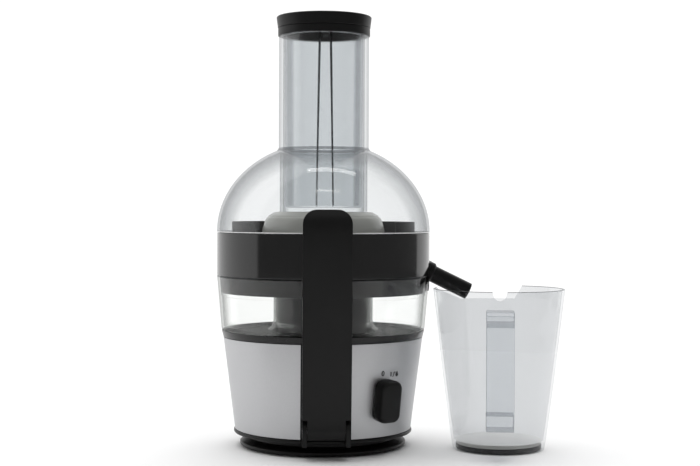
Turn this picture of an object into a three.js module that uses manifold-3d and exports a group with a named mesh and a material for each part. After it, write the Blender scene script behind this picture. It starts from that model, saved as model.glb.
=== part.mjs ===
// A compact centrifugal juicer and the jug that stands under its spout, in millimetres.
// +Z is up, -Y is the front with the locking arm, and +X is the side of the spout.
// The origin is the centre of the juicer's footprint, on the surface that it stands on.
import * as THREE from "three";
import { mergeVertices } from "three/addons/utils/BufferGeometryUtils.js";
import Module from "manifold-3d";

const wasm = await Module();
wasm.setup();

// ---- Driving dimensions ----

const GAP = 0.4; // between parts that rest on or in each other
const BIG_SIDES = 32; // sides of the large turned parts
const SMALL_SIDES = 16; // sides of shafts, bearings and screws

// Stack of the body: heights of the seams between the separate parts
const FOOT_LIFT = 1.5; // underside of the base plate above the surface
const BASE_TOP = 13.2;
const BAND_BOTTOM = 17.6;
const BAND_TOP = 106.3;
const COLLAR_TOP = 113.4;
const CONTAINER_TOP = 166;
const COLLECTOR_TOP = 207.8;
const NECK_Z = 288.3;
const TUBE_TOP = 400;
const CAP_SEAM = 408.4;
const OVERALL_HEIGHT = 419.5;

// Radii
const FOOT_R = 81;
const NECK_R = 70;
const LIP_R = 87;
const BAND_BOTTOM_R = 86;
const BAND_SLOPE = 0.1286; // growth of the steel band's radius with height
const BAND_WALL = 0.8;
const HOUSING_WALL = 2.4;
const COLLAR_R = 99.3;
const CONTAINER_SLOPE = 0.088;
const CONTAINER_WALL = 2.4;
const COLLECTOR_R = 104.2;
const COLLECTOR_WALL = 2.4;
const BOWL_R = 89.6; // outside of the juice bowl's wall
const BOWL_TOP = 218.5;
const BOWL_FRONT_TOP = 200; // floor of the opening that the pulp leaves by, at the front
const BOWL_FRONT_HALF_WIDTH = 66;
const BOWL_FLOOR = 168.3;
const COLUMN_R = 48.7; // the pulp container's inner column
const TOWER_TOP = 150;
const TOWER_BASE_R = 44;
const TOWER_TOP_R = 41;
const TOWER_WALL = 3;
const TUBE_R = 44.2;
const TUBE_BORE_R = 40;
const DOME_RISE = 87.9;
const LID_WALL = 2.4;

// Locking arm
const ARM_WIDTH = 44.8;
const ARM_TOP = 230.3;
const ARM_CORNER_R = 13;
const HINGE_Y = -96.5;
const HINGE_Z = 28;
const HINGE_EYE_R = 9;
const HINGE_HALF_WIDTH = 17.5;
const CHEEK_WALL = 4.2;
const PIN_R = 2.5;

// Rotary knob
const KNOB_AZIMUTH = THREE.MathUtils.degToRad(36.4); // from the front towards +X
const KNOB_Z = 53;
const KNOB_WIDTH = 24;
const KNOB_HEIGHT = 39.5;
const KNOB_DEPTH = 13;
const KNOB_CORNER_R = 7.5;

// Spout
const SPOUT_ROOT = [102, 0, 170.3];
const SPOUT_TILT = THREE.MathUtils.degToRad(26); // below the horizontal
const SPOUT_LENGTH = 46;
const SPOUT_R = 8.2;
const SPOUT_COLLAR_R = 10.2;
const OUTLET_BORE_R = 6.9;

// Jug
const JUG_CENTRE = [169, -30];
const JUG_HEIGHT = 154.5;
const JUG_RIM_R = 63.4;
const JUG_BASE_R = 43.7;
const JUG_WALL = 2.4;
const JUG_TURN = THREE.MathUtils.degToRad(-8); // turns the handle towards the juicer

// Motor
const SHAFT_R = 4;
const STATOR_R = 38;
const STATOR_BORE_R = 24.6;
const STATOR_BOTTOM = 42;
const STATOR_TOP = 80;

const bandRadius = (z) => BAND_BOTTOM_R + BAND_SLOPE * (z - BAND_BOTTOM);
const housingRadius = (z) => bandRadius(z) - BAND_WALL - GAP;
const containerRadius = (z) => COLLAR_R + CONTAINER_SLOPE * (z - COLLAR_TOP);
const jugRadius = (z) => JUG_BASE_R + (JUG_RIM_R - JUG_BASE_R) * (z / JUG_HEIGHT) ** 0.9;

// ---- Materials ----

function material(color, roughness, metalness = 0, opacity = 1) {
  const transparent = opacity < 1;
  return new THREE.MeshStandardMaterial({ color, roughness, metalness, opacity, transparent });
}

const satinBlack = material(0x1b1b1c, 0.45);
const glossBlack = material(0x141414, 0.12);
const brushedSteel = material(0xb4b5b8, 0.32, 1);
const sieveSteel = material(0xc2c3c4, 0.3, 1);
const smokeClear = material(0x9aa3a8, 0.05, 0, 0.35);
const clearPlastic = material(0xd8dbdc, 0.05, 0, 0.3);
const greyShroud = material(0x96968f, 0.3, 0, 0.8);
const rubber = material(0x222222, 0.9);
const shaftSteel = material(0xa9abad, 0.3, 1);
const laminations = material(0x6e7073, 0.5, 1);
const copper = material(0xb06a3a, 0.4, 1);
const innerPlastic = material(0x3a3a3d, 0.6);

// ---- Solids ----

// A closed geometry as a manifold-3d solid.
function solid(geometry) {
  const bare = new THREE.BufferGeometry();
  bare.setAttribute("position", geometry.getAttribute("position"));
  bare.setIndex(geometry.index);
  const merged = mergeVertices(bare, 1e-4);
  const mesh = new wasm.Mesh({
    numProp: 3,
    vertProperties: merged.attributes.position.array,
    triVerts: new Uint32Array(merged.index.array),
  });
  return new wasm.Manifold(mesh);
}

function geometryOf(manifold) {
  const { numProp, numVert, vertProperties, triVerts } = manifold.getMesh();
  const positions = new Float32Array(numVert * 3);
  for (let i = 0; i < numVert; i++) {
    positions.set(vertProperties.subarray(i * numProp, i * numProp + 3), i * 3);
  }
  const geometry = new THREE.BufferGeometry();
  geometry.setAttribute("position", new THREE.BufferAttribute(positions, 3));
  geometry.setIndex(new THREE.BufferAttribute(triVerts, 1));
  geometry.computeVertexNormals();
  return geometry;
}

const join = (first, ...rest) => geometryOf(rest.reduce((a, b) => a.add(solid(b)), solid(first)));
const cut = (first, ...rest) => geometryOf(rest.reduce((a, b) => a.subtract(solid(b)), solid(first)));
const common = (first, second) => geometryOf(solid(first).intersect(solid(second)));

// A closed outline of [radius, height] points turned about Z. It starts and ends on the axis,
// or else it closes on itself.
function turned(outline, sides = BIG_SIDES) {
  const points = outline.map(([r, z]) => new THREE.Vector2(r, z));
  if (THREE.ShapeUtils.area(points) < 0) points.reverse();
  if (points[0].x > 0) points.push(points[0].clone());
  return new THREE.LatheGeometry(points, sides).rotateX(Math.PI / 2);
}

function ring(innerR, outerR, bottom, top, sides = SMALL_SIDES) {
  return turned([[innerR, bottom], [outerR, bottom], [outerR, top], [innerR, top]], sides);
}

function rod(radius, bottom, top, sides = SMALL_SIDES) {
  return ring(0, radius, bottom, top, sides);
}

function block(low, high) {
  const size = high.map((value, i) => value - low[i]);
  const middle = high.map((value, i) => (value + low[i]) / 2);
  return new THREE.BoxGeometry(...size).translate(...middle);
}

// An outline of (y, z) points, extruded along X and centred on x = 0.
function sidePrism(shape, width, curveSegments = 6) {
  const options = { depth: width, bevelEnabled: false, curveSegments };
  const geometry = new THREE.ExtrudeGeometry(shape, options).translate(0, 0, -width / 2);
  const turn = new THREE.Matrix4().makeBasis(
    new THREE.Vector3(0, 1, 0),
    new THREE.Vector3(0, 0, 1),
    new THREE.Vector3(1, 0, 0),
  );
  return geometry.applyMatrix4(turn);
}

// An outline of (x, z) points, extruded along Y from one value to another.
function frontPrism(shape, fromY, toY, curveSegments = 6) {
  const options = { depth: toY - fromY, bevelEnabled: false, curveSegments };
  return new THREE.ExtrudeGeometry(shape, options).rotateX(Math.PI / 2).translate(0, toY, 0);
}

function polygon(points) {
  return new THREE.Shape(points.map(([x, y]) => new THREE.Vector2(x, y)));
}

function roundedRectangle(width, height, radius) {
  const x = width / 2 - radius;
  const y = height / 2 - radius;
  const shape = new THREE.Shape();
  shape.absarc(x, -y, radius, -Math.PI / 2, 0);
  shape.absarc(x, y, radius, 0, Math.PI / 2);
  shape.absarc(-x, y, radius, Math.PI / 2, Math.PI);
  shape.absarc(-x, -y, radius, Math.PI, 1.5 * Math.PI);
  return shape;
}

// Copies of a geometry, spaced evenly round Z.
function around(count, startAngle, make) {
  const step = (2 * Math.PI) / count;
  return Array.from({ length: count }, (_, i) => make().rotateZ(startAngle + i * step));
}

const juicer = new THREE.Group();

function add(name, geometry, surface, parent = juicer) {
  const mesh = new THREE.Mesh(geometry, surface);
  mesh.name = name;
  parent.add(mesh);
  return mesh;
}

// ---- Base: the flared foot with its rubber feet and screws ----

const SCREW_CIRCLE_R = 62.5;
const FOOT_CIRCLE_R = 62;
const RUBBER_FOOT_R = 8;
const FOOT_RECESS_TOP = 3;
const PLATE_TOP = 4.5;

function basePlate() {
  const dish = turned([
    [0, FOOT_LIFT],
    [FOOT_R - 1, FOOT_LIFT],
    [FOOT_R, FOOT_LIFT + 1.2],
    [FOOT_R, 5],
    [FOOT_R - 5, 6.8],
    [NECK_R, 8],
    [NECK_R, BASE_TOP],
    [NECK_R - 3, BASE_TOP],
    [NECK_R - 3, PLATE_TOP],
    [0, PLATE_TOP],
  ]);
  const bosses = around(4, 0, () => rod(5, 4, BASE_TOP, 12).translate(SCREW_CIRCLE_R, 0, 0));
  const vents = around(8, Math.PI / 8, () => block([24, -1.5, 0], [46, 1.5, 8]));
  const recesses = around(4, Math.PI / 4, () => {
    return rod(RUBBER_FOOT_R + GAP, 0, FOOT_RECESS_TOP, 12).translate(FOOT_CIRCLE_R, 0, 0);
  });
  const screwHoles = around(4, 0, () => {
    const hole = join(rod(2.2, 0, 15, 8), rod(4.2, 0, 5, 8));
    return hole.translate(SCREW_CIRCLE_R, 0, 0);
  });
  return cut(join(dish, ...bosses), ...vents, ...recesses, ...screwHoles);
}

function housingScrew() {
  const head = rod(3.6, 2, 4.6, 8);
  const shank = rod(1.8, 4, 16.5, 8);
  return join(head, shank);
}

function rubberFoot() {
  return rod(RUBBER_FOOT_R, 0, FOOT_RECESS_TOP - GAP, 12);
}

add("base_plate", basePlate(), satinBlack);
for (let i = 0; i < 4; i++) {
  const quarter = (i * Math.PI) / 2;
  const foot = rubberFoot().translate(FOOT_CIRCLE_R, 0, 0).rotateZ(quarter + Math.PI / 4);
  const screw = housingScrew().translate(SCREW_CIRCLE_R, 0, 0).rotateZ(quarter);
  add(`rubber_foot_${i + 1}`, foot, rubber);
  add(`housing_screw_${i + 1}`, screw, shaftSteel);
}

// ---- Knob place: a frame on the steel band, Z out of the band and Y up along it ----

function knobFrame() {
  const tilt = Math.atan(BAND_SLOPE);
  const outward = new THREE.Vector3(Math.sin(KNOB_AZIMUTH), -Math.cos(KNOB_AZIMUTH), 0);
  const normal = outward.clone().multiplyScalar(Math.cos(tilt)).setZ(-Math.sin(tilt));
  const up = outward.clone().multiplyScalar(Math.sin(tilt)).setZ(Math.cos(tilt));
  const right = new THREE.Vector3().crossVectors(up, normal);
  const place = outward.multiplyScalar(bandRadius(KNOB_Z)).setZ(KNOB_Z);
  return new THREE.Matrix4().makeBasis(right, up, normal).setPosition(place);
}

const KNOB_FRAME = knobFrame();
const spindleHole = () => rod(4.6, -12, 6).applyMatrix4(KNOB_FRAME);

// ---- Motor unit: housing, steel band, deck with its tower, and the arm's hinge ----

const ARM_CUT_HALF_WIDTH = 23.6;
const CORD_Z = 27;
const CORD_HOLE_R = 6.4;
const cordHole = () => rod(CORD_HOLE_R, 60, 110).rotateX(-Math.PI / 2).translate(0, 0, CORD_Z);

// One of the two cheeks that hold the arm's hinge pin.
function hingeCheek(side) {
  const outline = new THREE.Shape();
  outline.moveTo(-84, 14);
  outline.lineTo(-84, HINGE_Z + HINGE_EYE_R);
  outline.lineTo(HINGE_Y, HINGE_Z + HINGE_EYE_R);
  outline.absarc(HINGE_Y, HINGE_Z, HINGE_EYE_R, Math.PI / 2, Math.PI, false);
  outline.lineTo(HINGE_Y - HINGE_EYE_R, 14);
  const middle = HINGE_HALF_WIDTH + GAP + CHEEK_WALL / 2;
  return sidePrism(outline, CHEEK_WALL).translate(side * middle, 0, 0);
}

const pinHole = (radius) => {
  return rod(radius, -30, 30, 16).rotateY(Math.PI / 2).translate(0, HINGE_Y, HINGE_Z);
};

function motorHousing() {
  const innerBottom = housingRadius(BAND_BOTTOM) - HOUSING_WALL;
  const shell = turned([
    [58, BASE_TOP + GAP],
    [LIP_R - 1, BASE_TOP + GAP],
    [LIP_R, BASE_TOP + 1.4],
    [LIP_R, BAND_BOTTOM - 1.2],
    [LIP_R - 1, BAND_BOTTOM - GAP],
    [housingRadius(BAND_BOTTOM), BAND_BOTTOM - GAP],
    [housingRadius(BAND_TOP), BAND_TOP],
    [housingRadius(BAND_TOP) - HOUSING_WALL, BAND_TOP],
    [innerBottom, BAND_BOTTOM],
    [innerBottom - 4, 16.2],
    [58, 16.2],
  ]);
  const screwHoles = around(4, 0, () => rod(2.2, 10, 20, 8).translate(SCREW_CIRCLE_R, 0, 0));
  const cheeks = [-1, 1].map(hingeCheek);
  const joined = join(shell, ...cheeks);
  return cut(joined, pinHole(PIN_R + GAP), spindleHole(), cordHole(), ...screwHoles);
}

function steelBand() {
  const sleeve = turned([
    [bandRadius(BAND_BOTTOM) - BAND_WALL, BAND_BOTTOM],
    [bandRadius(BAND_BOTTOM), BAND_BOTTOM],
    [bandRadius(BAND_TOP), BAND_TOP],
    [bandRadius(BAND_TOP) - BAND_WALL, BAND_TOP],
  ]);
  const armCut = block([-ARM_CUT_HALF_WIDTH, -120, 0], [ARM_CUT_HALF_WIDTH, -60, 120]);
  return cut(sleeve, armCut, spindleHole(), cordHole());
}

// The black collar that the pulp container stands in, with the tower that carries the shaft.
function topDeck() {
  const collarInner = COLLAR_R - 3.2;
  const deckBottom = BAND_TOP + GAP;
  const deckTop = BAND_TOP + 3.1;
  return turned([
    [TOWER_BASE_R - TOWER_WALL, deckBottom],
    [COLLAR_R - 1.8, deckBottom],
    [COLLAR_R, COLLAR_TOP],
    [collarInner, COLLAR_TOP],
    [collarInner - 0.6, deckTop],
    [TOWER_BASE_R, deckTop],
    [TOWER_TOP_R, 146],
    [TOWER_TOP_R - 3, TOWER_TOP],
    [9, TOWER_TOP],
    [9, 147],
    [12, 147],
    [12, 137],
    [TOWER_TOP_R - TOWER_WALL, 137],
    [TOWER_BASE_R - TOWER_WALL, deckTop + 1.4],
  ]);
}

// The bush that the mains lead comes out of.
function cordGland() {
  const sleeve = ring(3.6, CORD_HOLE_R - GAP, 80, 92);
  const flange = ring(3.6, 8.5, 88.6, 91);
  return join(sleeve, flange).rotateX(-Math.PI / 2).translate(0, 0, CORD_Z);
}

add("motor_housing", motorHousing(), satinBlack);
add("steel_band", steelBand(), brushedSteel);
add("top_deck", topDeck(), satinBlack);
add("cord_gland", cordGland(), rubber);
const pinLength = 2 * (HINGE_HALF_WIDTH + GAP + CHEEK_WALL);
const hingePin = rod(PIN_R, -pinLength / 2, pinLength / 2, 16).rotateY(Math.PI / 2);
add("hinge_pin", hingePin.translate(0, HINGE_Y, HINGE_Z), shaftSteel);

// ---- Motor: fixed parts ----

const BEARING_R = 8;
const LOWER_BEARING_Z = 20;
const COIL_HALF_ANGLE = 0.28;

// The bracket that carries the lower bearing and, on four posts, the stator.
function motorBracket() {
  const plate = turned([
    [6, 16.6],
    [66, 16.6],
    [66, 19.6],
    [BEARING_R + 3, 19.6],
    [BEARING_R + 3, LOWER_BEARING_Z + 6],
    [BEARING_R + GAP, LOWER_BEARING_Z + 6],
    [BEARING_R + GAP, 19.6],
    [6, 19.6],
  ]);
  const posts = around(4, Math.PI / 4, () => {
    return rod(3.5, 18, STATOR_BOTTOM - GAP, 12).translate(34, 0, 0);
  });
  const screwClearance = around(4, 0, () => rod(4, 10, 25, 12).translate(SCREW_CIRCLE_R, 0, 0));
  return cut(join(plate, ...posts), ...screwClearance);
}

// A sector of a ring, centred on +X.
function ringSector(innerR, outerR, bottom, top, halfAngle) {
  const outline = new THREE.Shape();
  outline.absarc(0, 0, outerR, -halfAngle, halfAngle, false);
  outline.absarc(0, 0, innerR, halfAngle, -halfAngle, true);
  const options = { depth: top - bottom, bevelEnabled: false, curveSegments: 6 };
  return new THREE.ExtrudeGeometry(outline, options).translate(0, 0, bottom);
}

function stator() {
  const stack = ring(STATOR_BORE_R, STATOR_R, STATOR_BOTTOM, STATOR_TOP, 32);
  const slots = around(2, 0, () => {
    return ringSector(20, 33, STATOR_BOTTOM - 1, STATOR_TOP + 1, COIL_HALF_ANGLE + 0.03);
  });
  return cut(stack, ...slots);
}

function brushHolder() {
  const body = block([-5, 12, 29.5], [5, 30, 37.5]);
  const leg = block([-5, 23, 20], [5, 30, 30]);
  return join(body, leg);
}

add("motor_bracket", motorBracket(), innerPlastic);
add("stator", stator(), laminations);
["left", "right"].forEach((side, i) => {
  const coil = ringSector(26.4, 32.4, STATOR_BOTTOM - 6, STATOR_TOP + 6, COIL_HALF_ANGLE);
  add(`field_coil_${side}`, coil.rotateZ((1 - i) * Math.PI), copper);
});
["rear", "front"].forEach((side, i) => {
  add(`brush_holder_${side}`, brushHolder().rotateZ(i * Math.PI), innerPlastic);
});
const bearing = (bottom, radius) => ring(SHAFT_R + GAP, radius, bottom, bottom + 6);
add("lower_bearing", bearing(LOWER_BEARING_Z, BEARING_R), shaftSteel);
add("upper_bearing", bearing(138, 11.6), shaftSteel);
add("shaft_seal", ring(SHAFT_R + GAP, BEARING_R, 147.2, 151), rubber);
add("safety_switch", block([-8, -76, 62], [8, -66, 82]), innerPlastic);

// ---- Rotor: shaft, armature, commutator, fan and drive coupling ----

const COUPLING_BOTTOM = 152;
const COUPLING_TOP = 180;
const COUPLING_R = 12;
const COUPLING_LOBES = 6;

// A round hub with lobes round it, as a splined coupling has.
function lobed(radius, bottom, top) {
  const hub = rod(radius * 0.84, bottom, top, 24);
  const lobes = around(COUPLING_LOBES, 0, () => {
    return rod(radius * 0.2, bottom, top, 8).translate(radius * 0.8, 0, 0);
  });
  return join(hub, ...lobes);
}

function motorShaft() {
  return turned(
    [[0, 19.8], [SHAFT_R, 19.8], [SHAFT_R, 172], [0, 172]],
    SMALL_SIDES,
  );
}

function armature() {
  const core = ring(SHAFT_R + GAP, STATOR_BORE_R - 1, STATOR_BOTTOM + 1, STATOR_TOP - 1, 36);
  const slots = around(12, 0, () => block([17, -1.4, 30], [30, 1.4, 100]));
  return cut(core, ...slots);
}

function coolingFan() {
  const hub = ring(SHAFT_R + GAP, 9, 89, 99);
  const disc = ring(SHAFT_R + GAP, 30, 97.6, 99, 36);
  const blades = around(9, 0, () => block([8, -0.8, 90], [29, 0.8, 98]).rotateZ(0.1));
  return join(hub, disc, ...blades);
}

function driveCoupling() {
  const bore = rod(SHAFT_R + GAP, COUPLING_BOTTOM - 5, 172 + GAP);
  return cut(lobed(COUPLING_R, COUPLING_BOTTOM, COUPLING_TOP), bore);
}

add("motor_shaft", motorShaft(), shaftSteel);
add("armature", armature(), laminations);
add("commutator", ring(SHAFT_R + GAP, 11, 30, 38, 24), copper);
add("cooling_fan", coolingFan(), innerPlastic);
add("drive_coupling", driveCoupling(), innerPlastic);

// ---- Pulp container: a clear ring-shaped trough with a column round the tower ----

const SPOUT_NOTCH_HALF_WIDTH = 13;
const SPOUT_NOTCH_BOTTOM = 150;
const TONGUE_R = 8.5;

function pulpContainer() {
  const wallBottom = COLLAR_TOP + GAP;
  const floorBottom = BAND_TOP + 3.5;
  const floorTop = floorBottom + 3.2;
  const inner = (z) => containerRadius(z) - CONTAINER_WALL;
  const trough = turned([
    [COLUMN_R - 2.4, floorBottom],
    [COLLAR_R - 4.4, floorBottom],
    [COLLAR_R - 3.8, wallBottom],
    [containerRadius(wallBottom), wallBottom],
    [containerRadius(CONTAINER_TOP), CONTAINER_TOP],
    [inner(CONTAINER_TOP), CONTAINER_TOP],
    [inner(floorTop + 4), floorTop + 4],
    [inner(floorTop + 4) - 3.4, floorTop],
    [COLUMN_R + 6, floorTop],
    [COLUMN_R + 2, floorTop + 3],
    [COLUMN_R, floorTop + 9],
    [COLUMN_R, 158],
    [COLUMN_R - 2.4, 158],
  ]);
  const half = SPOUT_NOTCH_HALF_WIDTH;
  const notch = block([80, -half, SPOUT_NOTCH_BOTTOM], [120, half, CONTAINER_TOP + 5]);
  return cut(trough, notch);
}

add("pulp_container", pulpContainer(), clearPlastic);

// ---- Juice collector: outer band, inner juice bowl, ribs between them, and the outlet ----

// Puts a geometry made along Z onto the spout's axis, with z = 0 at the spout's root.
function alongSpout(geometry) {
  return geometry.rotateY(Math.PI / 2 + SPOUT_TILT).translate(...SPOUT_ROOT);
}

function juiceCollector() {
  const bandBottom = CONTAINER_TOP + GAP;
  const bandInner = COLLECTOR_R - COLLECTOR_WALL;
  const skirtOuter = (z) => containerRadius(z) - CONTAINER_WALL - GAP;
  const skirtBottom = 149.4;
  const band = turned([
    [skirtOuter(skirtBottom) - 2, skirtBottom],
    [skirtOuter(skirtBottom), skirtBottom],
    [skirtOuter(bandBottom), bandBottom],
    [COLLECTOR_R, bandBottom],
    [COLLECTOR_R, COLLECTOR_TOP],
    [bandInner, COLLECTOR_TOP],
    [bandInner, bandBottom + 6],
    [skirtOuter(bandBottom) - 2, bandBottom],
  ]);
  const bowlInner = BOWL_R - 2.4;
  const bowl = turned([
    [22, BOWL_FLOOR - 2.4],
    [51, BOWL_FLOOR - 2.4],
    [51, 146],
    [53, 146],
    [53, BOWL_FLOOR - 2.4],
    [BOWL_R - 4, BOWL_FLOOR - 2.4],
    [BOWL_R, BOWL_FLOOR + 2],
    [BOWL_R, BOWL_TOP],
    [bowlInner, BOWL_TOP],
    [bowlInner, BOWL_FLOOR + 3],
    [bowlInner - 3, BOWL_FLOOR],
    [24.4, BOWL_FLOOR],
    [24.4, 177],
    [22, 177],
  ]);
  const half = BOWL_FRONT_HALF_WIDTH;
  const pulpOpening = block([-half, -BOWL_R - 5, BOWL_FRONT_TOP], [half, -50, BOWL_TOP + 5]);
  const ribs = around(4, Math.PI / 4, () => {
    return block([BOWL_R - 1, -1.5, 168], [bandInner + 1, 1.5, 198]);
  });
  const outletBoss = cut(
    alongSpout(rod(10.5, -18, 0.5)),
    rod(BOWL_R - 1.2, 150, 230, BIG_SIDES),
  );
  // The tongue under the outlet fills the notch in the pulp container's wall.
  const tongue = rod(TONGUE_R, 96, COLLECTOR_R - 0.6, SMALL_SIDES)
    .rotateY(Math.PI / 2)
    .translate(0, 0, SPOUT_NOTCH_BOTTOM + GAP + TONGUE_R);
  const joined = join(band, cut(bowl, pulpOpening), ...ribs, outletBoss, tongue);
  const spoutSeat = alongSpout(rod(SPOUT_COLLAR_R + GAP, 0.6, 30));
  return cut(joined, alongSpout(rod(OUTLET_BORE_R, -21, 8)), spoutSeat);
}

add("juice_collector", juiceCollector(), glossBlack);

// ---- Spout: a push-fit pipe with a seal on its spigot ----

const SPIGOT_LENGTH = 13;

function spoutPipe() {
  const spigotR = OUTLET_BORE_R - GAP;
  const pipe = turned(
    [
      [4.6, -SPIGOT_LENGTH],
      [spigotR, -SPIGOT_LENGTH],
      [spigotR, -6.2],
      [5.6, -6.2],
      [5.6, -3.8],
      [spigotR, -3.8],
      [spigotR, 1],
      [SPOUT_COLLAR_R, 1],
      [SPOUT_COLLAR_R, 5],
      [SPOUT_R, 7],
      [SPOUT_R, SPOUT_LENGTH],
      [SPOUT_R - 1.6, SPOUT_LENGTH],
      [6, 4],
      [4.6, 2],
    ],
    SMALL_SIDES,
  );
  return pipe;
}

const spoutGroup = new THREE.Group();
spoutGroup.position.set(...SPOUT_ROOT);
spoutGroup.rotation.y = Math.PI / 2 + SPOUT_TILT;
juicer.add(spoutGroup);
add("spout", spoutPipe(), satinBlack, spoutGroup);
add("spout_seal", ring(5.6 + GAP / 2, 6.6, -5.9, -4.1), rubber, spoutGroup);

// ---- Sieve: hub, grating disc, mesh basket and rim ----

const GRATER_Z = 185;
const GRATER_R = 54;
const SIEVE_TOP = 203;
const SIEVE_TOP_R = 82;
const SIEVE_RIM_R = BOWL_R - 3.2;

function sieveHub() {
  const hub = turned(
    [
      [0, 162],
      [19, 162],
      [19, 180],
      [46, 181.5],
      [GRATER_R + 2, 181.5],
      [GRATER_R + 2, GRATER_Z - GAP],
      [0, GRATER_Z - GAP],
    ],
    BIG_SIDES,
  );
  return cut(hub, lobed(COUPLING_R + 1, 150, COUPLING_TOP + 0.8));
}

// The steel disc with rows of small raised teeth.
function gratingDisc() {
  const disc = rod(GRATER_R, GRATER_Z, GRATER_Z + 1.2, BIG_SIDES);
  const rows = [20, 33, 46];
  const teeth = rows.flatMap((radius, row) => {
    return around(6 + 3 * row, 0.3 * row, () => {
      return block([radius, -0.6, GRATER_Z + 1], [radius + 3, 0.6, GRATER_Z + 2.8]);
    });
  });
  return join(disc, ...teeth);
}

function sieveMesh() {
  return turned([
    [GRATER_R + 1, GRATER_Z],
    [GRATER_R + 2.2, GRATER_Z],
    [SIEVE_TOP_R, SIEVE_TOP],
    [SIEVE_TOP_R - 1.2, SIEVE_TOP],
  ]);
}

function sieveRim() {
  return turned([
    [SIEVE_TOP_R - 1.6, SIEVE_TOP + GAP],
    [SIEVE_RIM_R, SIEVE_TOP + GAP],
    [SIEVE_RIM_R, SIEVE_TOP + 2.6],
    [SIEVE_TOP_R - 1.6, SIEVE_TOP + 2.6],
  ]);
}

add("sieve_hub", sieveHub(), innerPlastic);
add("grating_disc", gratingDisc(), sieveSteel);
add("sieve_mesh", sieveMesh(), sieveSteel);
add("sieve_rim", sieveRim(), satinBlack);

// ---- Lid: a dome with a wide feed tube, and the shroud under the tube ----

const LID_SEAT = COLLECTOR_TOP + GAP;
const DOME_BASE = LID_SEAT + 0.8;
const LID_FLANGE_BOTTOM = 202;
const TUBE_BOTTOM = 225;

// Points on the dome's quarter ellipse, from its foot up to a given radius.
function domeArc(inset, endRadius, steps) {
  const reach = COLLECTOR_R - inset;
  const rise = DOME_RISE - inset;
  const endAngle = Math.acos(endRadius / reach);
  return Array.from({ length: steps + 1 }, (_, i) => {
    const angle = (endAngle * i) / steps;
    return [reach * Math.cos(angle), DOME_BASE + rise * Math.sin(angle)];
  });
}

function lidDome() {
  const flangeR = COLLECTOR_R - COLLECTOR_WALL - GAP;
  const innerTubeR = TUBE_R - 1.2;
  const shell = turned([
    [flangeR - 2.2, LID_FLANGE_BOTTOM],
    [flangeR, LID_FLANGE_BOTTOM],
    [flangeR, LID_SEAT],
    [COLLECTOR_R, LID_SEAT],
    ...domeArc(0, TUBE_R + 2, 7),
    [TUBE_R + 0.6, NECK_Z + 1.2],
    [TUBE_R, NECK_Z + 2.2],
    [TUBE_R, TUBE_TOP],
    [TUBE_BORE_R, TUBE_TOP],
    [TUBE_BORE_R, TUBE_BOTTOM],
    [innerTubeR, TUBE_BOTTOM],
    ...domeArc(LID_WALL, innerTubeR, 6).reverse(),
    [flangeR - 2.2, LID_SEAT],
  ]);
  const keyRib = block([-3.5, -TUBE_BORE_R - 0.6, 234], [3.5, -TUBE_BORE_R + 2, TUBE_TOP - 4]);
  return join(shell, keyRib);
}

// The bell that keeps fruit on the grating disc.
function feedShroud() {
  return turned([
    [TUBE_R - 0.8, 223.8],
    [TUBE_R - 0.8, 228.2],
    [48, 227.8],
    [53.5, 224.6],
    [57.4, 219.4],
    [59.6, 212],
    [61, 201],
    [58.8, 201],
    [57.4, 211.6],
    [55.4, 218.2],
    [52, 222.6],
    [48, 224.8],
  ]);
}

add("lid", lidDome(), smokeClear);
add("feed_shroud", feedShroud(), greyShroud);

// ---- Pusher: a hollow clear cup with a key groove down its front, and a black cap ----

const PUSHER_TOP_R = 38.6;
const PUSHER_BOTTOM_R = 37.6;
const PUSHER_BOTTOM = 232;
const PUSHER_WALL = 2.2;

// A wedge down the front of the pusher, wider at the bottom than at the top.
function grooveWedge(margin, depth) {
  const outline = polygon([
    [-9 - margin, PUSHER_BOTTOM - 5],
    [9 + margin, PUSHER_BOTTOM - 5],
    [5 + margin, TUBE_TOP + 5],
    [-5 - margin, TUBE_TOP + 5],
  ]);
  return frontPrism(outline, -50, -PUSHER_TOP_R + depth);
}

function pusherBody() {
  const outer = turned([
    [0, PUSHER_BOTTOM],
    [PUSHER_BOTTOM_R - 2, PUSHER_BOTTOM],
    [PUSHER_BOTTOM_R, PUSHER_BOTTOM + 2],
    [PUSHER_TOP_R, TUBE_TOP],
    [0, TUBE_TOP],
  ]);
  const hollow = turned([
    [0, PUSHER_BOTTOM + PUSHER_WALL],
    [PUSHER_BOTTOM_R - PUSHER_WALL, PUSHER_BOTTOM + PUSHER_WALL],
    [PUSHER_TOP_R - PUSHER_WALL, TUBE_TOP + 5],
    [0, TUBE_TOP + 5],
  ]);
  const grooved = cut(outer, grooveWedge(0, 3.2));
  return cut(grooved, cut(hollow, grooveWedge(PUSHER_WALL, 3.2 + PUSHER_WALL)));
}

function pusherCap() {
  const topR = 46.7;
  const skirtR = 45.2;
  return turned([
    [0, OVERALL_HEIGHT],
    [topR - 1, OVERALL_HEIGHT],
    [topR, OVERALL_HEIGHT - 1],
    [skirtR + 0.4, CAP_SEAM + 3],
    [skirtR + 0.4, CAP_SEAM],
    [skirtR - 0.6, CAP_SEAM - 0.4],
    [skirtR, CAP_SEAM - 1],
    [skirtR, TUBE_TOP + GAP],
    [36.6, TUBE_TOP + GAP],
    [36.6, OVERALL_HEIGHT - 3.4],
    [0, OVERALL_HEIGHT - 3.4],
  ]);
}

add("pusher_body", pusherBody(), smokeClear);
add("pusher_cap", pusherCap(), satinBlack);

// ---- Locking arm: a curved cover with a hinge eye, and the bar inside it ----

// The arm's inner and outer faces: distance in front of the axis, and height
const ARM_INNER = [[93.2, 38.5], [100.6, 111], [105.4, 161], [105.4, 226], [107, ARM_TOP]];
const ARM_OUTER = [[105.4, 38.5], [113.5, 104], [119, 160], [121.8, 205], [120.6, 220], [115, ARM_TOP]];
const ARM_WALL = 3;

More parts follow.
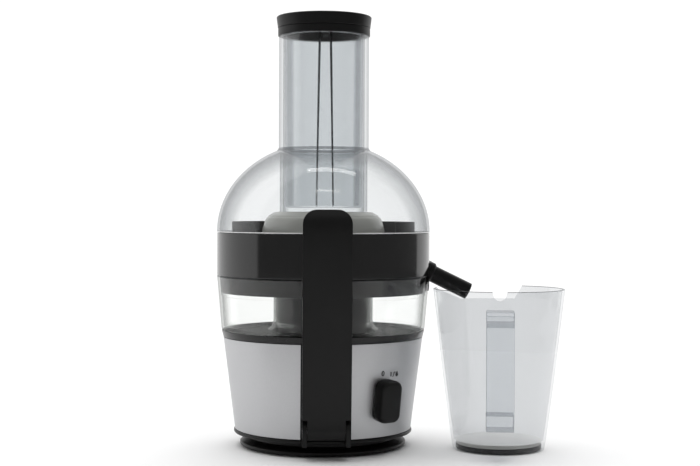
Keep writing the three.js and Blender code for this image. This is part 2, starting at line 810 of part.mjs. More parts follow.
// A side outline between an inner and an outer face, each listed upwards.
function betweenFaces(inner, outer) {
  return polygon([...inner, ...[...outer].reverse()].map(([out, z]) => [-out, z]));
}

function armFront() {
  const half = ARM_WIDTH / 2;
  const x = half - ARM_CORNER_R;
  const z = ARM_TOP - ARM_CORNER_R;
  const shape = new THREE.Shape();
  shape.moveTo(-half, 0);
  shape.lineTo(half, 0);
  shape.absarc(x, z, ARM_CORNER_R, 0, Math.PI / 2, false);
  shape.absarc(-x, z, ARM_CORNER_R, Math.PI / 2, Math.PI, false);
  return shape;
}

function armCover() {
  const body = common(
    sidePrism(betweenFaces(ARM_INNER, ARM_OUTER), ARM_WIDTH + 10),
    frontPrism(armFront(), -140, -80),
  );
  const eyeOutline = new THREE.Shape().absarc(HINGE_Y, HINGE_Z, HINGE_EYE_R, 0, 2 * Math.PI);
  const eye = sidePrism(eyeOutline, 2 * HINGE_HALF_WIDTH, 10);
  const rootOutline = polygon([[-93.2, 30], [-93.2, 42], [-105.4, 42], [-105.4, 28], [-100, 28]]);
  const root = sidePrism(rootOutline, 2 * HINGE_HALF_WIDTH);
  const pocketOutline = betweenFaces(
    [[90, 46], [100, 120], [100, 218]],
    [[104.5, 46], [110.2, 104], [115.6, 160], [118.2, 205], [117.6, 218]],
  );
  const pocket = sidePrism(pocketOutline, ARM_WIDTH - 2 * ARM_WALL);
  return cut(join(body, eye, root), pocket, pinHole(PIN_R + GAP));
}

function armBar() {
  const outline = betweenFaces(
    [[95.4, 48], [101.6, 111], [106.4, 161], [106.4, 216]],
    [[104, 48], [109.6, 104], [115, 160], [117.6, 205], [117, 216]],
  );
  return sidePrism(outline, ARM_WIDTH - 4 * ARM_WALL);
}

add("arm_cover", armCover(), satinBlack);
add("arm_bar", armBar(), innerPlastic);

// ---- Rotary knob with its spindle, and the switch behind it ----

const knobGroup = new THREE.Group();
KNOB_FRAME.decompose(knobGroup.position, knobGroup.quaternion, knobGroup.scale);
juicer.add(knobGroup);

function knobGrip() {
  const bevel = 3;
  const outline = roundedRectangle(
    KNOB_WIDTH - 2 * bevel,
    KNOB_HEIGHT - 2 * bevel,
    KNOB_CORNER_R - bevel,
  );
  const options = {
    depth: KNOB_DEPTH - bevel,
    bevelThickness: bevel,
    bevelSize: bevel,
    bevelSegments: 2,
    curveSegments: 4,
  };
  const bevelled = new THREE.ExtrudeGeometry(outline, options);
  return common(bevelled, block([-40, -40, 0], [40, 40, 40])).translate(0, 0, 1);
}

function rotarySwitch() {
  return cut(block([-11, -11, -26], [11, 11, -8]), rod(3.6, -14, 0));
}

add("knob", knobGrip(), satinBlack, knobGroup);
add("knob_spindle", rod(3, -12, 0.7), innerPlastic, knobGroup);
add("rotary_switch", rotarySwitch(), innerPlastic, knobGroup);

// ---- Jug: clear tapered body, handle towards the front, and a ring under the floor ----

const jugGroup = new THREE.Group();
jugGroup.position.set(...JUG_CENTRE, 0);
juicer.add(jugGroup);

const HANDLE_WIDTH = 25.5;

function jugBody() {
  const heights = [0, 30, 62, 94, 124, JUG_HEIGHT];
  const outer = heights.map((z) => [jugRadius(z), z]);
  const inner = heights.slice(1).map((z) => [jugRadius(z) - JUG_WALL, z]);
  const shell = turned([
    [0, 5.6],
    [JUG_BASE_R - JUG_WALL, 5.6],
    [JUG_BASE_R - JUG_WALL, 0],
    ...outer,
    ...inner.reverse(),
    [jugRadius(9) - JUG_WALL, 9],
    [0, 8],
  ]);
  // The rear cut follows the underside of the dipping spout, then runs level.
  const above = JUG_HEIGHT + 1.5;
  const cutFloor = JUG_HEIGHT - 13.2;
  const rearCut = polygon([
    [-60, above],
    [-56, 152.4],
    [-52, 150.6],
    [-30, cutFloor],
    [25, cutFloor],
    [33, above],
  ]);
  const notch = polygon([[-7.5, above], [-3, 148], [0, 146.8], [3, 148], [7.5, above]]);
  return cut(
    shell,
    frontPrism(rearCut, 12, 80),
    frontPrism(notch, -80, -40).rotateZ(JUG_TURN),
  );
}

// A closed loop: a bracket at the top, a flat grip, and a block at the foot.
function jugHandle() {
  const wall = (z) => -(jugRadius(z) + GAP);
  const loop = polygon([
    [wall(138), 138],
    [-90, 138],
    [-95, 134],
    [-90, 40],
    [-82, 28],
    [wall(28), 28],
    [wall(42), 42],
    [-79, 42],
    [-84.5, 50],
    [-89, 124],
    [-86, 127.5],
    [wall(127.5), 127.5],
  ]);
  return sidePrism(loop, HANDLE_WIDTH).rotateZ(JUG_TURN);
}

add("jug_body", jugBody(), clearPlastic, jugGroup);
add("jug_handle", jugHandle(), clearPlastic, jugGroup);
const baseRing = ring(36.5, JUG_BASE_R - JUG_WALL - GAP, 0.6, 5.2, BIG_SIDES);
add("jug_base_ring", baseRing, rubber, jugGroup);

export default juicer;
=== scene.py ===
"""Looks of the centrifugal juicer and its jug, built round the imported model.

The juicer's axis is the Z axis, the front with the locking arm is -Y, and the spout points
along +X. The scene is in metres. Outlines and dimensions are in millimetres, and are scaled
as the meshes are built.
"""

import math

import bmesh
import bpy
from mathutils import Matrix, Vector


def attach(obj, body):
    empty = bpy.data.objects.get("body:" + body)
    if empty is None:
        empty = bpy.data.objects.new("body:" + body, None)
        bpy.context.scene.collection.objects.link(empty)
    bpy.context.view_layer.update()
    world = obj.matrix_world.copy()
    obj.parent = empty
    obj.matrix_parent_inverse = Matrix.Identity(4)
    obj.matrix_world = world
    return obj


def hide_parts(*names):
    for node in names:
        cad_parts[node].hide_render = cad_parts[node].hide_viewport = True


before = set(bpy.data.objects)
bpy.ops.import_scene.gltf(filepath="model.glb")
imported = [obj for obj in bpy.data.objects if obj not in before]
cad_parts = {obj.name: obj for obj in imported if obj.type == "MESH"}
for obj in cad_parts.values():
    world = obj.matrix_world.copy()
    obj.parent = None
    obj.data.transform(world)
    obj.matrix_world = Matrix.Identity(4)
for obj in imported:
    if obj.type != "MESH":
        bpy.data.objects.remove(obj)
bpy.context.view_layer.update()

MM = 0.001

# ---- Driving dimensions, millimetres ----

ROUND_SIDES = 160  # sides of the large turned pieces
SMALL_SIDES = 64  # sides of rods and of the spout
GAP = 0.4  # left between neighbouring pieces

BASE_TOP = 13.2
BAND_BOTTOM = 17.6
BAND_TOP = 106.3
COLLAR_TOP = 113.4
CONTAINER_TOP = 166
SKIRT_BOTTOM = 149.4  # of the skirt that hangs from the collector inside the container
COLLECTOR_TOP = 207.8
LID_SEAT = COLLECTOR_TOP + GAP
DOME_BASE = LID_SEAT + 0.8
NECK_Z = 288.3
TUBE_TOP = 400
CAP_SEAM = 408.4
TOP = 419.5

BAND_BOTTOM_R = 86
BAND_SLOPE = 0.1286  # the radius gained for each millimetre of height
BAND_WALL = 0.8
COLLAR_R = 99.3
TOWER_R = 44  # of the tower on the top deck, under the sieve
TOWER_TOP = 150

CONTAINER_SLOPE = 0.088
CONTAINER_WALL = 2.4
TROUGH_UNDERSIDE = BAND_TOP + 3.5
TROUGH_FLOOR = BAND_TOP + 6.7
COLUMN_R = 48.7  # of the hollow column in the middle of the trough
COLUMN_TOP = 158

COLLECTOR_R = 104.2
COLLECTOR_WALL = 2.4
BOWL_R = 89.6
BOWL_TOP = 218.5
BOWL_FLOOR = 165.9  # the underside of the bowl's floor
BOWL_FRONT_TOP = 200  # the bowl's wall is low at the front, where the pulp leaves
BOWL_FRONT_HALF_WIDTH = 66
SIEVE_BOTTOM = 185
SIEVE_BOTTOM_R = 56.2
SIEVE_TOP = 203
SIEVE_TOP_R = 82

DOME_RISE = 87.9
DOME_WALL = 2.4
LID_FLANGE_BOTTOM = 202
TUBE_BOTTOM = 225
TUBE_R = 44.2
TUBE_BORE_R = 40
BELL_TOP = 228.2
BELL_FOOT = 201
BELL_FOOT_R = 61

PUSHER_TOP_R = 38.6
PUSHER_BOTTOM_R = 37.6
PUSHER_BOTTOM = 232
PUSHER_WALL = 2.2
GROOVE_FOOT = 7.4  # half width of the groove's floor at the pusher's foot, and at its head
GROOVE_HEAD = 4.0
GROOVE_DEPTH = 3.2
GROOVE_DRAFT = 0.55  # half width gained for each millimetre towards the front
GROOVE_WALL = 0.9  # the pusher's wall beside the groove

ARM_WIDTH = 44.8
ARM_TOP = 230.3
ARM_INNER = [(93.2, 38.5), (100.6, 111), (105.4, 161), (105.4, 226), (107, ARM_TOP)]
ARM_OUTER = [(105.4, 38.5), (113.5, 104), (119, 160), (121.8, 205), (120.6, 220), (115, ARM_TOP)]
HINGE_Y = -96.5
HINGE_Z = 28
HINGE_EYE_R = 9
HINGE_HALF_WIDTH = 17.5
PIN_HOLE_R = 2.9

KNOB_AZIMUTH = math.radians(36.4)
KNOB_Z = 53
KNOB_WIDTH = 24
KNOB_HEIGHT = 39.5
KNOB_CORNER = 7.5

SPOUT_ROOT = Vector((102, 0, 170.3))
SPOUT_TILT = math.radians(26)
SPOUT_LENGTH = 46
SPOUT_R = 8.2
SPOUT_SHANK_R = 6.5

JUG_CENTRE = Vector((169, -30, 0))
JUG_HEIGHT = 154.5
JUG_RIM_R = 63.4
JUG_BASE_R = 43.7
JUG_WALL = 2.4
JUG_FLOOR_BOTTOM = 5.6
JUG_FLOOR_TOP = 8
JUG_CUT_DEPTH = 13.2  # of the low stretch in the jug's rear rim
JUG_TURN = math.radians(-8)
HANDLE_WIDTH = 25.5


def band_radius(z):
    return BAND_BOTTOM_R + BAND_SLOPE * (z - BAND_BOTTOM)


def container_radius(z):
    return COLLAR_R + CONTAINER_SLOPE * (z - COLLAR_TOP)


def jug_radius(z):
    return JUG_BASE_R + (JUG_RIM_R - JUG_BASE_R) * (max(z, 0) / JUG_HEIGHT) ** 0.9


# ---- Material building ----


def new_material(name):
    material = bpy.data.materials.new(name)
    material.use_nodes = True
    material.node_tree.nodes.clear()
    return material, material.node_tree


def node(tree, kind, **inputs):
    """A new node; an input's name is given with _ for each space."""
    made = tree.nodes.new(kind)
    for key, value in inputs.items():
        made.inputs[key.replace("_", " ")].default_value = value
    return made


def coordinates(tree, scale=(1, 1, 1)):
    """Each point's own place in the object, stretched by scale."""
    place = tree.nodes.new("ShaderNodeTexCoord")
    mapping = node(tree, "ShaderNodeMapping", Scale=scale)
    tree.links.new(place.outputs["Object"], mapping.inputs["Vector"])
    return mapping.outputs["Vector"]


def noise(tree, scale, detail=3.0, stretch=(1, 1, 1)):
    made = node(tree, "ShaderNodeTexNoise", Scale=scale, Detail=detail)
    tree.links.new(coordinates(tree, stretch), made.inputs["Vector"])
    return made.outputs["Fac"]


def spread(tree, value, low, high):
    """The value, from 0 to 1, spread from low to high."""
    made = tree.nodes.new("ShaderNodeMapRange")
    made.inputs["To Min"].default_value = low
    made.inputs["To Max"].default_value = high
    tree.links.new(value, made.inputs["Value"])
    return made.outputs["Result"]


def ramp(tree, value, stops):
    """A colour ramp; stops are (position, colour) pairs."""
    made = tree.nodes.new("ShaderNodeValToRGB")
    elements = made.color_ramp.elements
    while len(elements) < len(stops):
        elements.new(0.5)
    for element, (position, colour) in zip(elements, stops):
        element.position = position
        element.color = (*colour, 1)
    tree.links.new(value, made.inputs["Fac"])
    return made.outputs["Color"]


def bump(tree, height, strength, distance):
    made = node(tree, "ShaderNodeBump", Strength=strength, Distance=distance)
    tree.links.new(height, made.inputs["Height"])
    return made.outputs["Normal"]


def grey(level):
    return (level, level, level)


def output(tree, shader):
    tree.links.new(shader, tree.nodes.new("ShaderNodeOutputMaterial").inputs["Surface"])


def moulded(name, dark, light, roughness, grain=900, relief=0.00002, specular=0.5):
    """Moulded plastic: a fine grain in its surface, and a little change of shade and gloss.

    roughness is a pair, its lowest and its highest. relief is the grain's height in metres.
    """
    material, tree = new_material(name)
    shader = node(tree, "ShaderNodeBsdfPrincipled", Specular_IOR_Level=specular)
    fine = noise(tree, grain, 2.0)
    broad = noise(tree, 22, 3.0)
    shade = ramp(tree, broad, [(0.3, dark), (0.7, light)])
    tree.links.new(shade, shader.inputs["Base Color"])
    low, high = roughness
    tree.links.new(spread(tree, broad, low, high), shader.inputs["Roughness"])
    tree.links.new(bump(tree, fine, 0.25, relief), shader.inputs["Normal"])
    output(tree, shader.outputs[0])
    return material


def brushed_metal(name, level, roughness, stretch, tint=(0.985, 0.99, 1.01)):
    """Metal with fine scratches: stretch says how fast the noise changes along each axis."""
    material, tree = new_material(name)
    shader = node(tree, "ShaderNodeBsdfPrincipled", Metallic=1.0)
    lines = noise(tree, 60, 6.0, stretch)
    dull = tuple(level * c for c in tint)
    pale = tuple(min(1, c * 1.06) for c in dull)
    tree.links.new(ramp(tree, lines, [(0.35, dull), (0.65, pale)]), shader.inputs["Base Color"])
    low, high = roughness
    tree.links.new(spread(tree, lines, low, high), shader.inputs["Roughness"])
    tree.links.new(bump(tree, lines, 0.12, 0.00002), shader.inputs["Normal"])
    output(tree, shader.outputs[0])
    return material


def clear_plastic(name, face, edge, turn=(0.75, 0.95), mirror=(0.012, 0.05, 0.2, 0.4)):
    """A thin clear wall that mirrors the room and tints what is behind it.

    turn says how far the wall has to turn away from sight, from 0 to 1, for the tint to start
    to change from face to edge, and for the change to be complete. mirror is the mirrored
    share of the light at four turns of the wall, from head on to edge on.
    """
    material, tree = new_material(name)
    facing = node(tree, "ShaderNodeLayerWeight", Blend=0.5).outputs["Facing"]
    streak = noise(tree, 9, 2.0)
    tint = ramp(tree, facing, [(turn[0], face), (turn[1], edge)])
    see = tree.nodes.new("ShaderNodeBsdfTransparent")
    tree.links.new(tint, see.inputs["Color"])
    gloss = tree.nodes.new("ShaderNodeBsdfGlossy")
    gloss.inputs["Color"].default_value = (1, 1, 1, 1)
    tree.links.new(spread(tree, streak, 0.02, 0.06), gloss.inputs["Roughness"])
    mixed = tree.nodes.new("ShaderNodeMixShader")
    mirrored = [(turned, grey(share)) for turned, share in zip((0, 0.55, 0.85, 1), mirror)]
    tree.links.new(ramp(tree, facing, mirrored), mixed.inputs["Fac"])
    tree.links.new(see.outputs[0], mixed.inputs[1])
    tree.links.new(gloss.outputs[0], mixed.inputs[2])
    output(tree, mixed.outputs[0])
    return material


def cloudy_plastic(name, colour, open_share):
    """Translucent grey plastic: part of it lets sight through and part scatters light."""
    material, tree = new_material(name)
    shader = node(tree, "ShaderNodeBsdfPrincipled", IOR=1.49)
    cloud = noise(tree, 30, 3.0)
    pale = tuple(c * 1.08 for c in colour)
    tree.links.new(ramp(tree, cloud, [(0.3, colour), (0.7, pale)]), shader.inputs["Base Color"])
    tree.links.new(spread(tree, cloud, 0.18, 0.3), shader.inputs["Roughness"])
    see = node(tree, "ShaderNodeBsdfTransparent", Color=(0.82, 0.82, 0.79, 1))
    mixed = node(tree, "ShaderNodeMixShader", Fac=open_share)
    tree.links.new(shader.outputs[0], mixed.inputs[1])
    tree.links.new(see.outputs[0], mixed.inputs[2])
    output(tree, mixed.outputs[0])
    return material


def stacked_sheets(name, dark, light):
    """The thin steel sheets of a stator or armature, seen as fine level lines."""
    material, tree = new_material(name)
    shader = node(tree, "ShaderNodeBsdfPrincipled", Metallic=0.9, Roughness=0.45)
    wave = node(tree, "ShaderNodeTexWave", Scale=300.0, Distortion=0.4)
    wave.bands_direction = "Z"
    tree.links.new(coordinates(tree), wave.inputs["Vector"])
    shade = ramp(tree, wave.outputs["Fac"], [(0.2, dark), (0.8, light)])
    tree.links.new(shade, shader.inputs["Base Color"])
    tree.links.new(bump(tree, wave.outputs["Fac"], 0.4, 0.0001), shader.inputs["Normal"])
    output(tree, shader.outputs[0])
    return material


SATIN_BLACK = moulded(
    "satin_black_plastic", grey(0.005), grey(0.0075), (0.36, 0.46), specular=0.2
)
GLOSS_BLACK = moulded(
    "gloss_black_plastic", grey(0.005), grey(0.007), (0.07, 0.1), 300, 0.000005, specular=0.55
)
DECK_BLACK = moulded("deck_black_plastic", grey(0.007), grey(0.01), (0.2, 0.3), specular=0.3)
RUBBER = moulded("black_rubber", grey(0.012), grey(0.02), (0.65, 0.8), 1500, 0.00005)
INNER = moulded("dark_inner_plastic", grey(0.03), grey(0.045), (0.5, 0.65))
MARK = moulded("printed_mark", grey(0.01), grey(0.014), (0.4, 0.5))
STEEL_BAND = brushed_metal("brushed_steel_band", 0.5, (0.42, 0.5), (60, 60, 0.6))
SIEVE_STEEL = brushed_metal("etched_sieve_steel", 0.6, (0.2, 0.3), (20, 20, 20))
SHAFT_STEEL = brushed_metal("turned_shaft_steel", 0.5, (0.22, 0.32), (2, 2, 60))
COPPER = brushed_metal("copper_windings", 0.5, (0.3, 0.4), (60, 60, 2), tint=(1.6, 0.76, 0.5))
LAMINATIONS = stacked_sheets("steel_laminations", grey(0.2), grey(0.42))
SMOKE = clear_plastic("smoke_clear_lid", (0.96, 0.965, 0.967), (0.56, 0.57, 0.58), (0.42, 0.97))
SMOKE_PUSHER = clear_plastic(
    "smoke_clear_pusher", (0.9, 0.908, 0.914), (0.78, 0.79, 0.8), (0.4, 0.46)
)
# Painted shade: the groove's side walls are clear smoke plastic like the rest of the pusher, tinted
# near black for the dark lines they show edge on.
GROOVE_PAINTED_SHADE = clear_plastic("groove_wall_painted_shade", (0.05, 0.055, 0.06), (0.05, 0.055, 0.06))
CLEAR = clear_plastic("clear_container", (0.98, 0.984, 0.98), (0.5, 0.51, 0.5), (0.6, 0.97))
CLEAR_FLOOR = clear_plastic(
    "clear_container_floor", (0.8, 0.81, 0.8), (0.72, 0.73, 0.72), mirror=(0.01, 0.02, 0.04, 0.08)
)
# Painted shade: the clear column is tinted grey for the black tower inside it, which the column's
# curved wall would make look wider.
COLUMN_PAINTED_SHADE = clear_plastic("column_painted_shade", (0.42, 0.43, 0.42), (0.5, 0.51, 0.5))
# Painted shade: the clear lid's faces round the neck, where the dome meets the feed tube, are
# tinted dark for the line that the thick fillet shows.
NECK_PAINTED_SHADE = clear_plastic("neck_painted_shade_line", (0.45, 0.46, 0.47), (0.4, 0.41, 0.42))
# Painted shade: the clear rims of the pulp container and of the jug are tinted dark grey for the
# dark line that a clear edge shows.
RIM_PAINTED_SHADE = clear_plastic("rim_painted_shade", (0.3, 0.31, 0.32), (0.3, 0.31, 0.32))
# Painted shade: the handle's clear sides, seen edge on, are tinted darker than its front.
HANDLE_SIDE_PAINTED_SHADE = clear_plastic("handle_side_painted_shade", (0.62, 0.64, 0.66), (0.5, 0.51, 0.53))
JUG_FLOOR = cloudy_plastic("jug_floor", (0.8, 0.8, 0.8), 0.25)
# Painted highlight: the clear lid's edge at its seat is given an opaque pale grey for the bright
# line that the edge shows.
LID_EDGE_PAINTED_HIGHLIGHT = moulded("lid_edge_painted_highlight", grey(0.85), grey(0.95), (0.2, 0.3))
CLEAR_JUG = clear_plastic("clear_jug", (0.885, 0.89, 0.895), (0.6, 0.61, 0.62), (0.85, 0.97))
CLEAR_HANDLE = clear_plastic("clear_handle", (0.9, 0.91, 0.92), (0.7, 0.71, 0.72), (0.5, 0.9))
SHROUD_GREY = cloudy_plastic("cloudy_grey_shroud", (0.46, 0.46, 0.43), 0.1)

# ---- Mesh building ----


def piece(name, mesh, material, slot, body, *replaced):
    """Puts a finished mesh in the scene, on its body, in place of its CAD nodes."""
    made = bpy.data.objects.new(name, mesh)
    bpy.context.scene.collection.objects.link(made)
    mesh.materials.append(material)
    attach(made, body)
    if replaced:
        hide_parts(*replaced)
    return made


def second_material(mesh, material, chosen):
    """Gives another material to the faces that chosen picks."""
    mesh.materials.append(material)
    for polygon in mesh.polygons:
        if chosen(polygon):
            polygon.material_index = len(mesh.materials) - 1


def face_radius(polygon):
    """How far a face's middle lies from the Z axis, in millimetres."""
    return math.hypot(polygon.center.x, polygon.center.y) / MM


def smooth(mesh, angle=32):
    """Shades the mesh smooth, apart from edges that turn more than the angle in degrees."""
    for polygon in mesh.polygons:
        polygon.use_smooth = True
    mesh.set_sharp_from_angle(angle=math.radians(angle))


def finished(name, bm, angle=32):
    """A bmesh as a named mesh, with its faces turned out and shaded smooth."""
    bmesh.ops.recalc_face_normals(bm, faces=bm.faces)
    mesh = bpy.data.meshes.new(name)
    bm.to_mesh(mesh)
    bm.free()
    smooth(mesh, angle)
    return mesh


def rounded(outline, radius):
    """A closed outline with each corner that turns sharply replaced by a short curve."""
    steps = 4
    made = []
    count = len(outline)
    for i, corner in enumerate(outline):
        here = Vector(corner)
        before = Vector(outline[i - 1]) - here
        after = Vector(outline[(i + 1) % count]) - here
        if before.length < 1e-6 or after.length < 1e-6:
            continue
        turn = math.pi - before.angle(after)
        if turn < math.radians(18) or here.x < 1e-6:
            made.append(tuple(here))
            continue
        reach = min(radius, 0.45 * before.length, 0.45 * after.length)
        start = here + before.normalized() * reach
        end = here + after.normalized() * reach
        for k in range(steps + 1):
            t = k / steps
            point = start * (1 - t) ** 2 + here * 2 * t * (1 - t) + end * t**2
            made.append(tuple(point))
    return made


def turned_bmesh(outline, sides=ROUND_SIDES):
    """A closed outline of (radius, height) points turned about Z."""
    bm = bmesh.new()
    rings = []
    for radius, z in outline:
        if radius < 1e-6:
            rings.append([bm.verts.new((0, 0, z * MM))])
            continue
        ring = []
        for i in range(sides):
            angle = 2 * math.pi * i / sides
            x = radius * MM * math.cos(angle)
            y = radius * MM * math.sin(angle)
            ring.append(bm.verts.new((x, y, z * MM)))
        rings.append(ring)
    for i, first in enumerate(rings):
        second = rings[(i + 1) % len(rings)]
        if len(first) == 1 and len(second) == 1:
            continue
        for k in range(sides):
            after = (k + 1) % sides
            corners = [
                first[k % len(first)],
                first[after % len(first)],
                second[after % len(second)],
                second[k % len(second)],
            ]
            bm.faces.new(list(dict.fromkeys(corners)))
    return bm


def turned(name, outline, corner, sides=ROUND_SIDES):
    """An outline with its corners rounded, turned about Z into a finished mesh."""
    return finished(name, turned_bmesh(rounded(outline, corner), sides))


def prism_bmesh(outline, low, high, place):
    """A flat outline of (a, b) points pulled from low to high; place turns (a, b, h) to a point."""
    bm = bmesh.new()
    bottom = [bm.verts.new(Vector(place(a, b, low)) * MM) for a, b in outline]
    top = [bm.verts.new(Vector(place(a, b, high)) * MM) for a, b in outline]
    bm.faces.new(bottom)
    bm.faces.new(top)
    for i in range(len(outline)):
        after = (i + 1) % len(outline)
        bm.faces.new([bottom[i], bottom[after], top[after], top[i]])
    bmesh.ops.recalc_face_normals(bm, faces=bm.faces)
    return bm


def side_place(y, z, x):
    """For an outline drawn as seen from the side, in (y, z)."""
    return (x, y, z)


def front_place(x, z, y):
    """For an outline drawn as seen from the front, in (x, z)."""
    return (x, y, z)


def as_mesh(name, bm):
    """A bmesh as a named mesh, with nothing else done to it."""
    mesh = bpy.data.meshes.new(name)
    bm.to_mesh(mesh)
    bm.free()
    return mesh


def combined(first, others, operation):
    """The first mesh joined to, or cut by, the others with exact booleans."""
    scene = bpy.context.scene.collection
    base = bpy.data.objects.new("boolean_base", first)
    scene.objects.link(base)
    tools = []
    for mesh in others:
        tool = bpy.data.objects.new("boolean_tool", mesh)
        scene.objects.link(tool)
        tools.append(tool)
        modifier = base.modifiers.new("combine", "BOOLEAN")
        modifier.operation = operation
        modifier.object = tool
        modifier.solver = "EXACT"
    bpy.context.view_layer.update()
    graph = bpy.context.evaluated_depsgraph_get()
    result = bpy.data.meshes.new_from_object(base.evaluated_get(graph))
    for made in [base, *tools]:
        bpy.data.objects.remove(made)
    return result


def cut_by(first, *others):
    return combined(first, others, "DIFFERENCE")


def joined_with(first, *others):
    return combined(first, others, "UNION")


def block_mesh(low, high):
    """A box between two opposite corners."""
    bm = bmesh.new()
    bmesh.ops.create_cube(bm, size=1)
    size = [(b - a) * MM for a, b in zip(low, high)]
    middle = [(b + a) / 2 * MM for a, b in zip(low, high)]
    bmesh.ops.transform(bm, matrix=Matrix.Diagonal((*size, 1)), verts=bm.verts)
    bmesh.ops.translate(bm, vec=middle, verts=bm.verts)
    return as_mesh("block", bm)


def rod_mesh(radius, bottom, top, matrix=Matrix()):
    """A round rod along Z from bottom to top, put in its place by the matrix."""
    bm = turned_bmesh([(0, bottom), (radius, bottom), (radius, top), (0, top)], SMALL_SIDES)
    bmesh.ops.recalc_face_normals(bm, faces=bm.faces)
    bmesh.ops.transform(bm, matrix=matrix, verts=bm.verts)
    return as_mesh("rod", bm)


def bevel(made, width):
    """Softens the sharp edges of a piece with a bevel modifier that is left on it."""
    modifier = made.modifiers.new("soft_edges", "BEVEL")
    modifier.width = width * MM
    modifier.segments = 3
    modifier.limit_method = "ANGLE"
    modifier.angle_limit = math.radians(35)
    modifier.harden_normals = True


def curve_through(points):
    """A smooth line through (a, b) points, by Catmull-Rom."""
    steps = 8
    ends = [points[0], *points, points[-1]]
    made = []
    for i in range(len(points) - 1):
        p0, p1, p2, p3 = (Vector(p) for p in ends[i : i + 4])
        for k in range(steps):
            t = k / steps
            made.append(
                0.5
                * (
                    2 * p1
                    + (p2 - p0) * t
                    + (2 * p0 - 5 * p1 + 4 * p2 - p3) * t**2
                    + (3 * p1 - p0 - 3 * p2 + p3) * t**3
                )
            )
    made.append(Vector(points[-1]))
    return [tuple(p) for p in made]


def arc_points(cx, cy, radius, start, end, steps=10):
    """Points on an arc; start and end are degrees."""
    made = []
    for i in range(steps + 1):
        angle = math.radians(start + (end - start) * i / steps)
        made.append((cx + radius * math.cos(angle), cy + radius * math.sin(angle)))
    return made


# ---- Base and motor unit ----


def base_plate():
    outline = [
        (0, 1.5),
        (80, 1.5),
        (81, 2.7),
        (81, 5),
        (76, 6.8),
        (70, 8),
        (70, BASE_TOP),
        (67, BASE_TOP),
        (67, 4.5),
        (0, 4.5),
    ]
    mesh = turned("base_plate_fine", outline, 1.2)
    piece("base_plate_fine", mesh, SATIN_BLACK, "satin_black", "motor_unit", "base_plate")


def hinge_cheek(side):
    """The plate that holds the arm's pin, on the left (side -1) or on the right (side 1)."""
    bottom, rear = 14, -84
    outline = [
        (rear, bottom),
        (rear, HINGE_Z + HINGE_EYE_R),
        *arc_points(HINGE_Y, HINGE_Z, HINGE_EYE_R, 90, 180),
        (HINGE_Y - HINGE_EYE_R, bottom),
    ]
    inner = side * (HINGE_HALF_WIDTH + GAP)
    outer = side * (HINGE_HALF_WIDTH + 4.6)
    return as_mesh("cheek", prism_bmesh(outline, min(inner, outer), max(inner, outer), side_place))


def pin_matrix():
    """Z along the arm's pin."""
    turn = Matrix.Rotation(math.pi / 2, 4, "Y")
    return Matrix.Translation(Vector((0, HINGE_Y, HINGE_Z)) * MM) @ turn


def pin_hole():
    return rod_mesh(PIN_HOLE_R, -30, 30, pin_matrix())


def cord_hole():
    """The hole for the cord gland, through the rear."""
    matrix = Matrix.Translation((0, 0, 27 * MM)) @ Matrix.Rotation(-math.pi / 2, 4, "X")
    return rod_mesh(6.4, 60, 110, matrix)


def motor_housing():
    """The shell inside the steel band, with a lip under the band and the hinge cheeks."""
    floor_hole_r, floor_top = 58, 16.2
    lip_r = BAND_BOTTOM_R + 1
    outer, inner = 1.2, 3.6  # how far the shell's two sides lie inside the band's outer side
    outline = [
        (floor_hole_r, BASE_TOP + GAP),
        (lip_r - 1, BASE_TOP + GAP),
        (lip_r, BASE_TOP + 1.4),
        (lip_r, BAND_BOTTOM - 1.2),
        (lip_r - 1, BAND_BOTTOM - GAP),
        (BAND_BOTTOM_R - outer, BAND_BOTTOM - GAP),
        (band_radius(BAND_TOP) - outer, BAND_TOP),
        (band_radius(BAND_TOP) - inner, BAND_TOP),
        (BAND_BOTTOM_R - inner, BAND_BOTTOM),
        (BAND_BOTTOM_R - inner - 4, floor_top),
        (floor_hole_r, floor_top),
    ]
    shell = turned("housing_shell", outline, 0.8)
    mesh = joined_with(shell, hinge_cheek(-1), hinge_cheek(1))
    mesh = cut_by(mesh, pin_hole(), cord_hole())
    smooth(mesh)
    piece("motor_housing_fine", mesh, SATIN_BLACK, "satin_black", "motor_unit", "motor_housing")


def steel_band():
    """The brushed steel sleeve, open in front for the arm."""
    bottom, top = BAND_BOTTOM, BAND_TOP
    outline = [
        (band_radius(bottom) - BAND_WALL, bottom),
        (band_radius(bottom), bottom),
        (band_radius(top), top),
        (band_radius(top) - BAND_WALL, top),
    ]
    sleeve = turned("band_sleeve", outline, 0.15, 192)
    arm_gap = block_mesh((-23.6, -120, 0), (23.6, -60, 120))
    spindle_hole = rod_mesh(4.6, -12, 6, knob_matrix())
    mesh = cut_by(sleeve, arm_gap, spindle_hole, cord_hole())
    smooth(mesh)
    piece("steel_band_fine", mesh, STEEL_BAND, "brushed_steel", "motor_unit", "steel_band")


def is_deck_top(polygon):
    return abs(polygon.normal.z) > 0.7 and face_radius(polygon) < COLLAR_R - 4


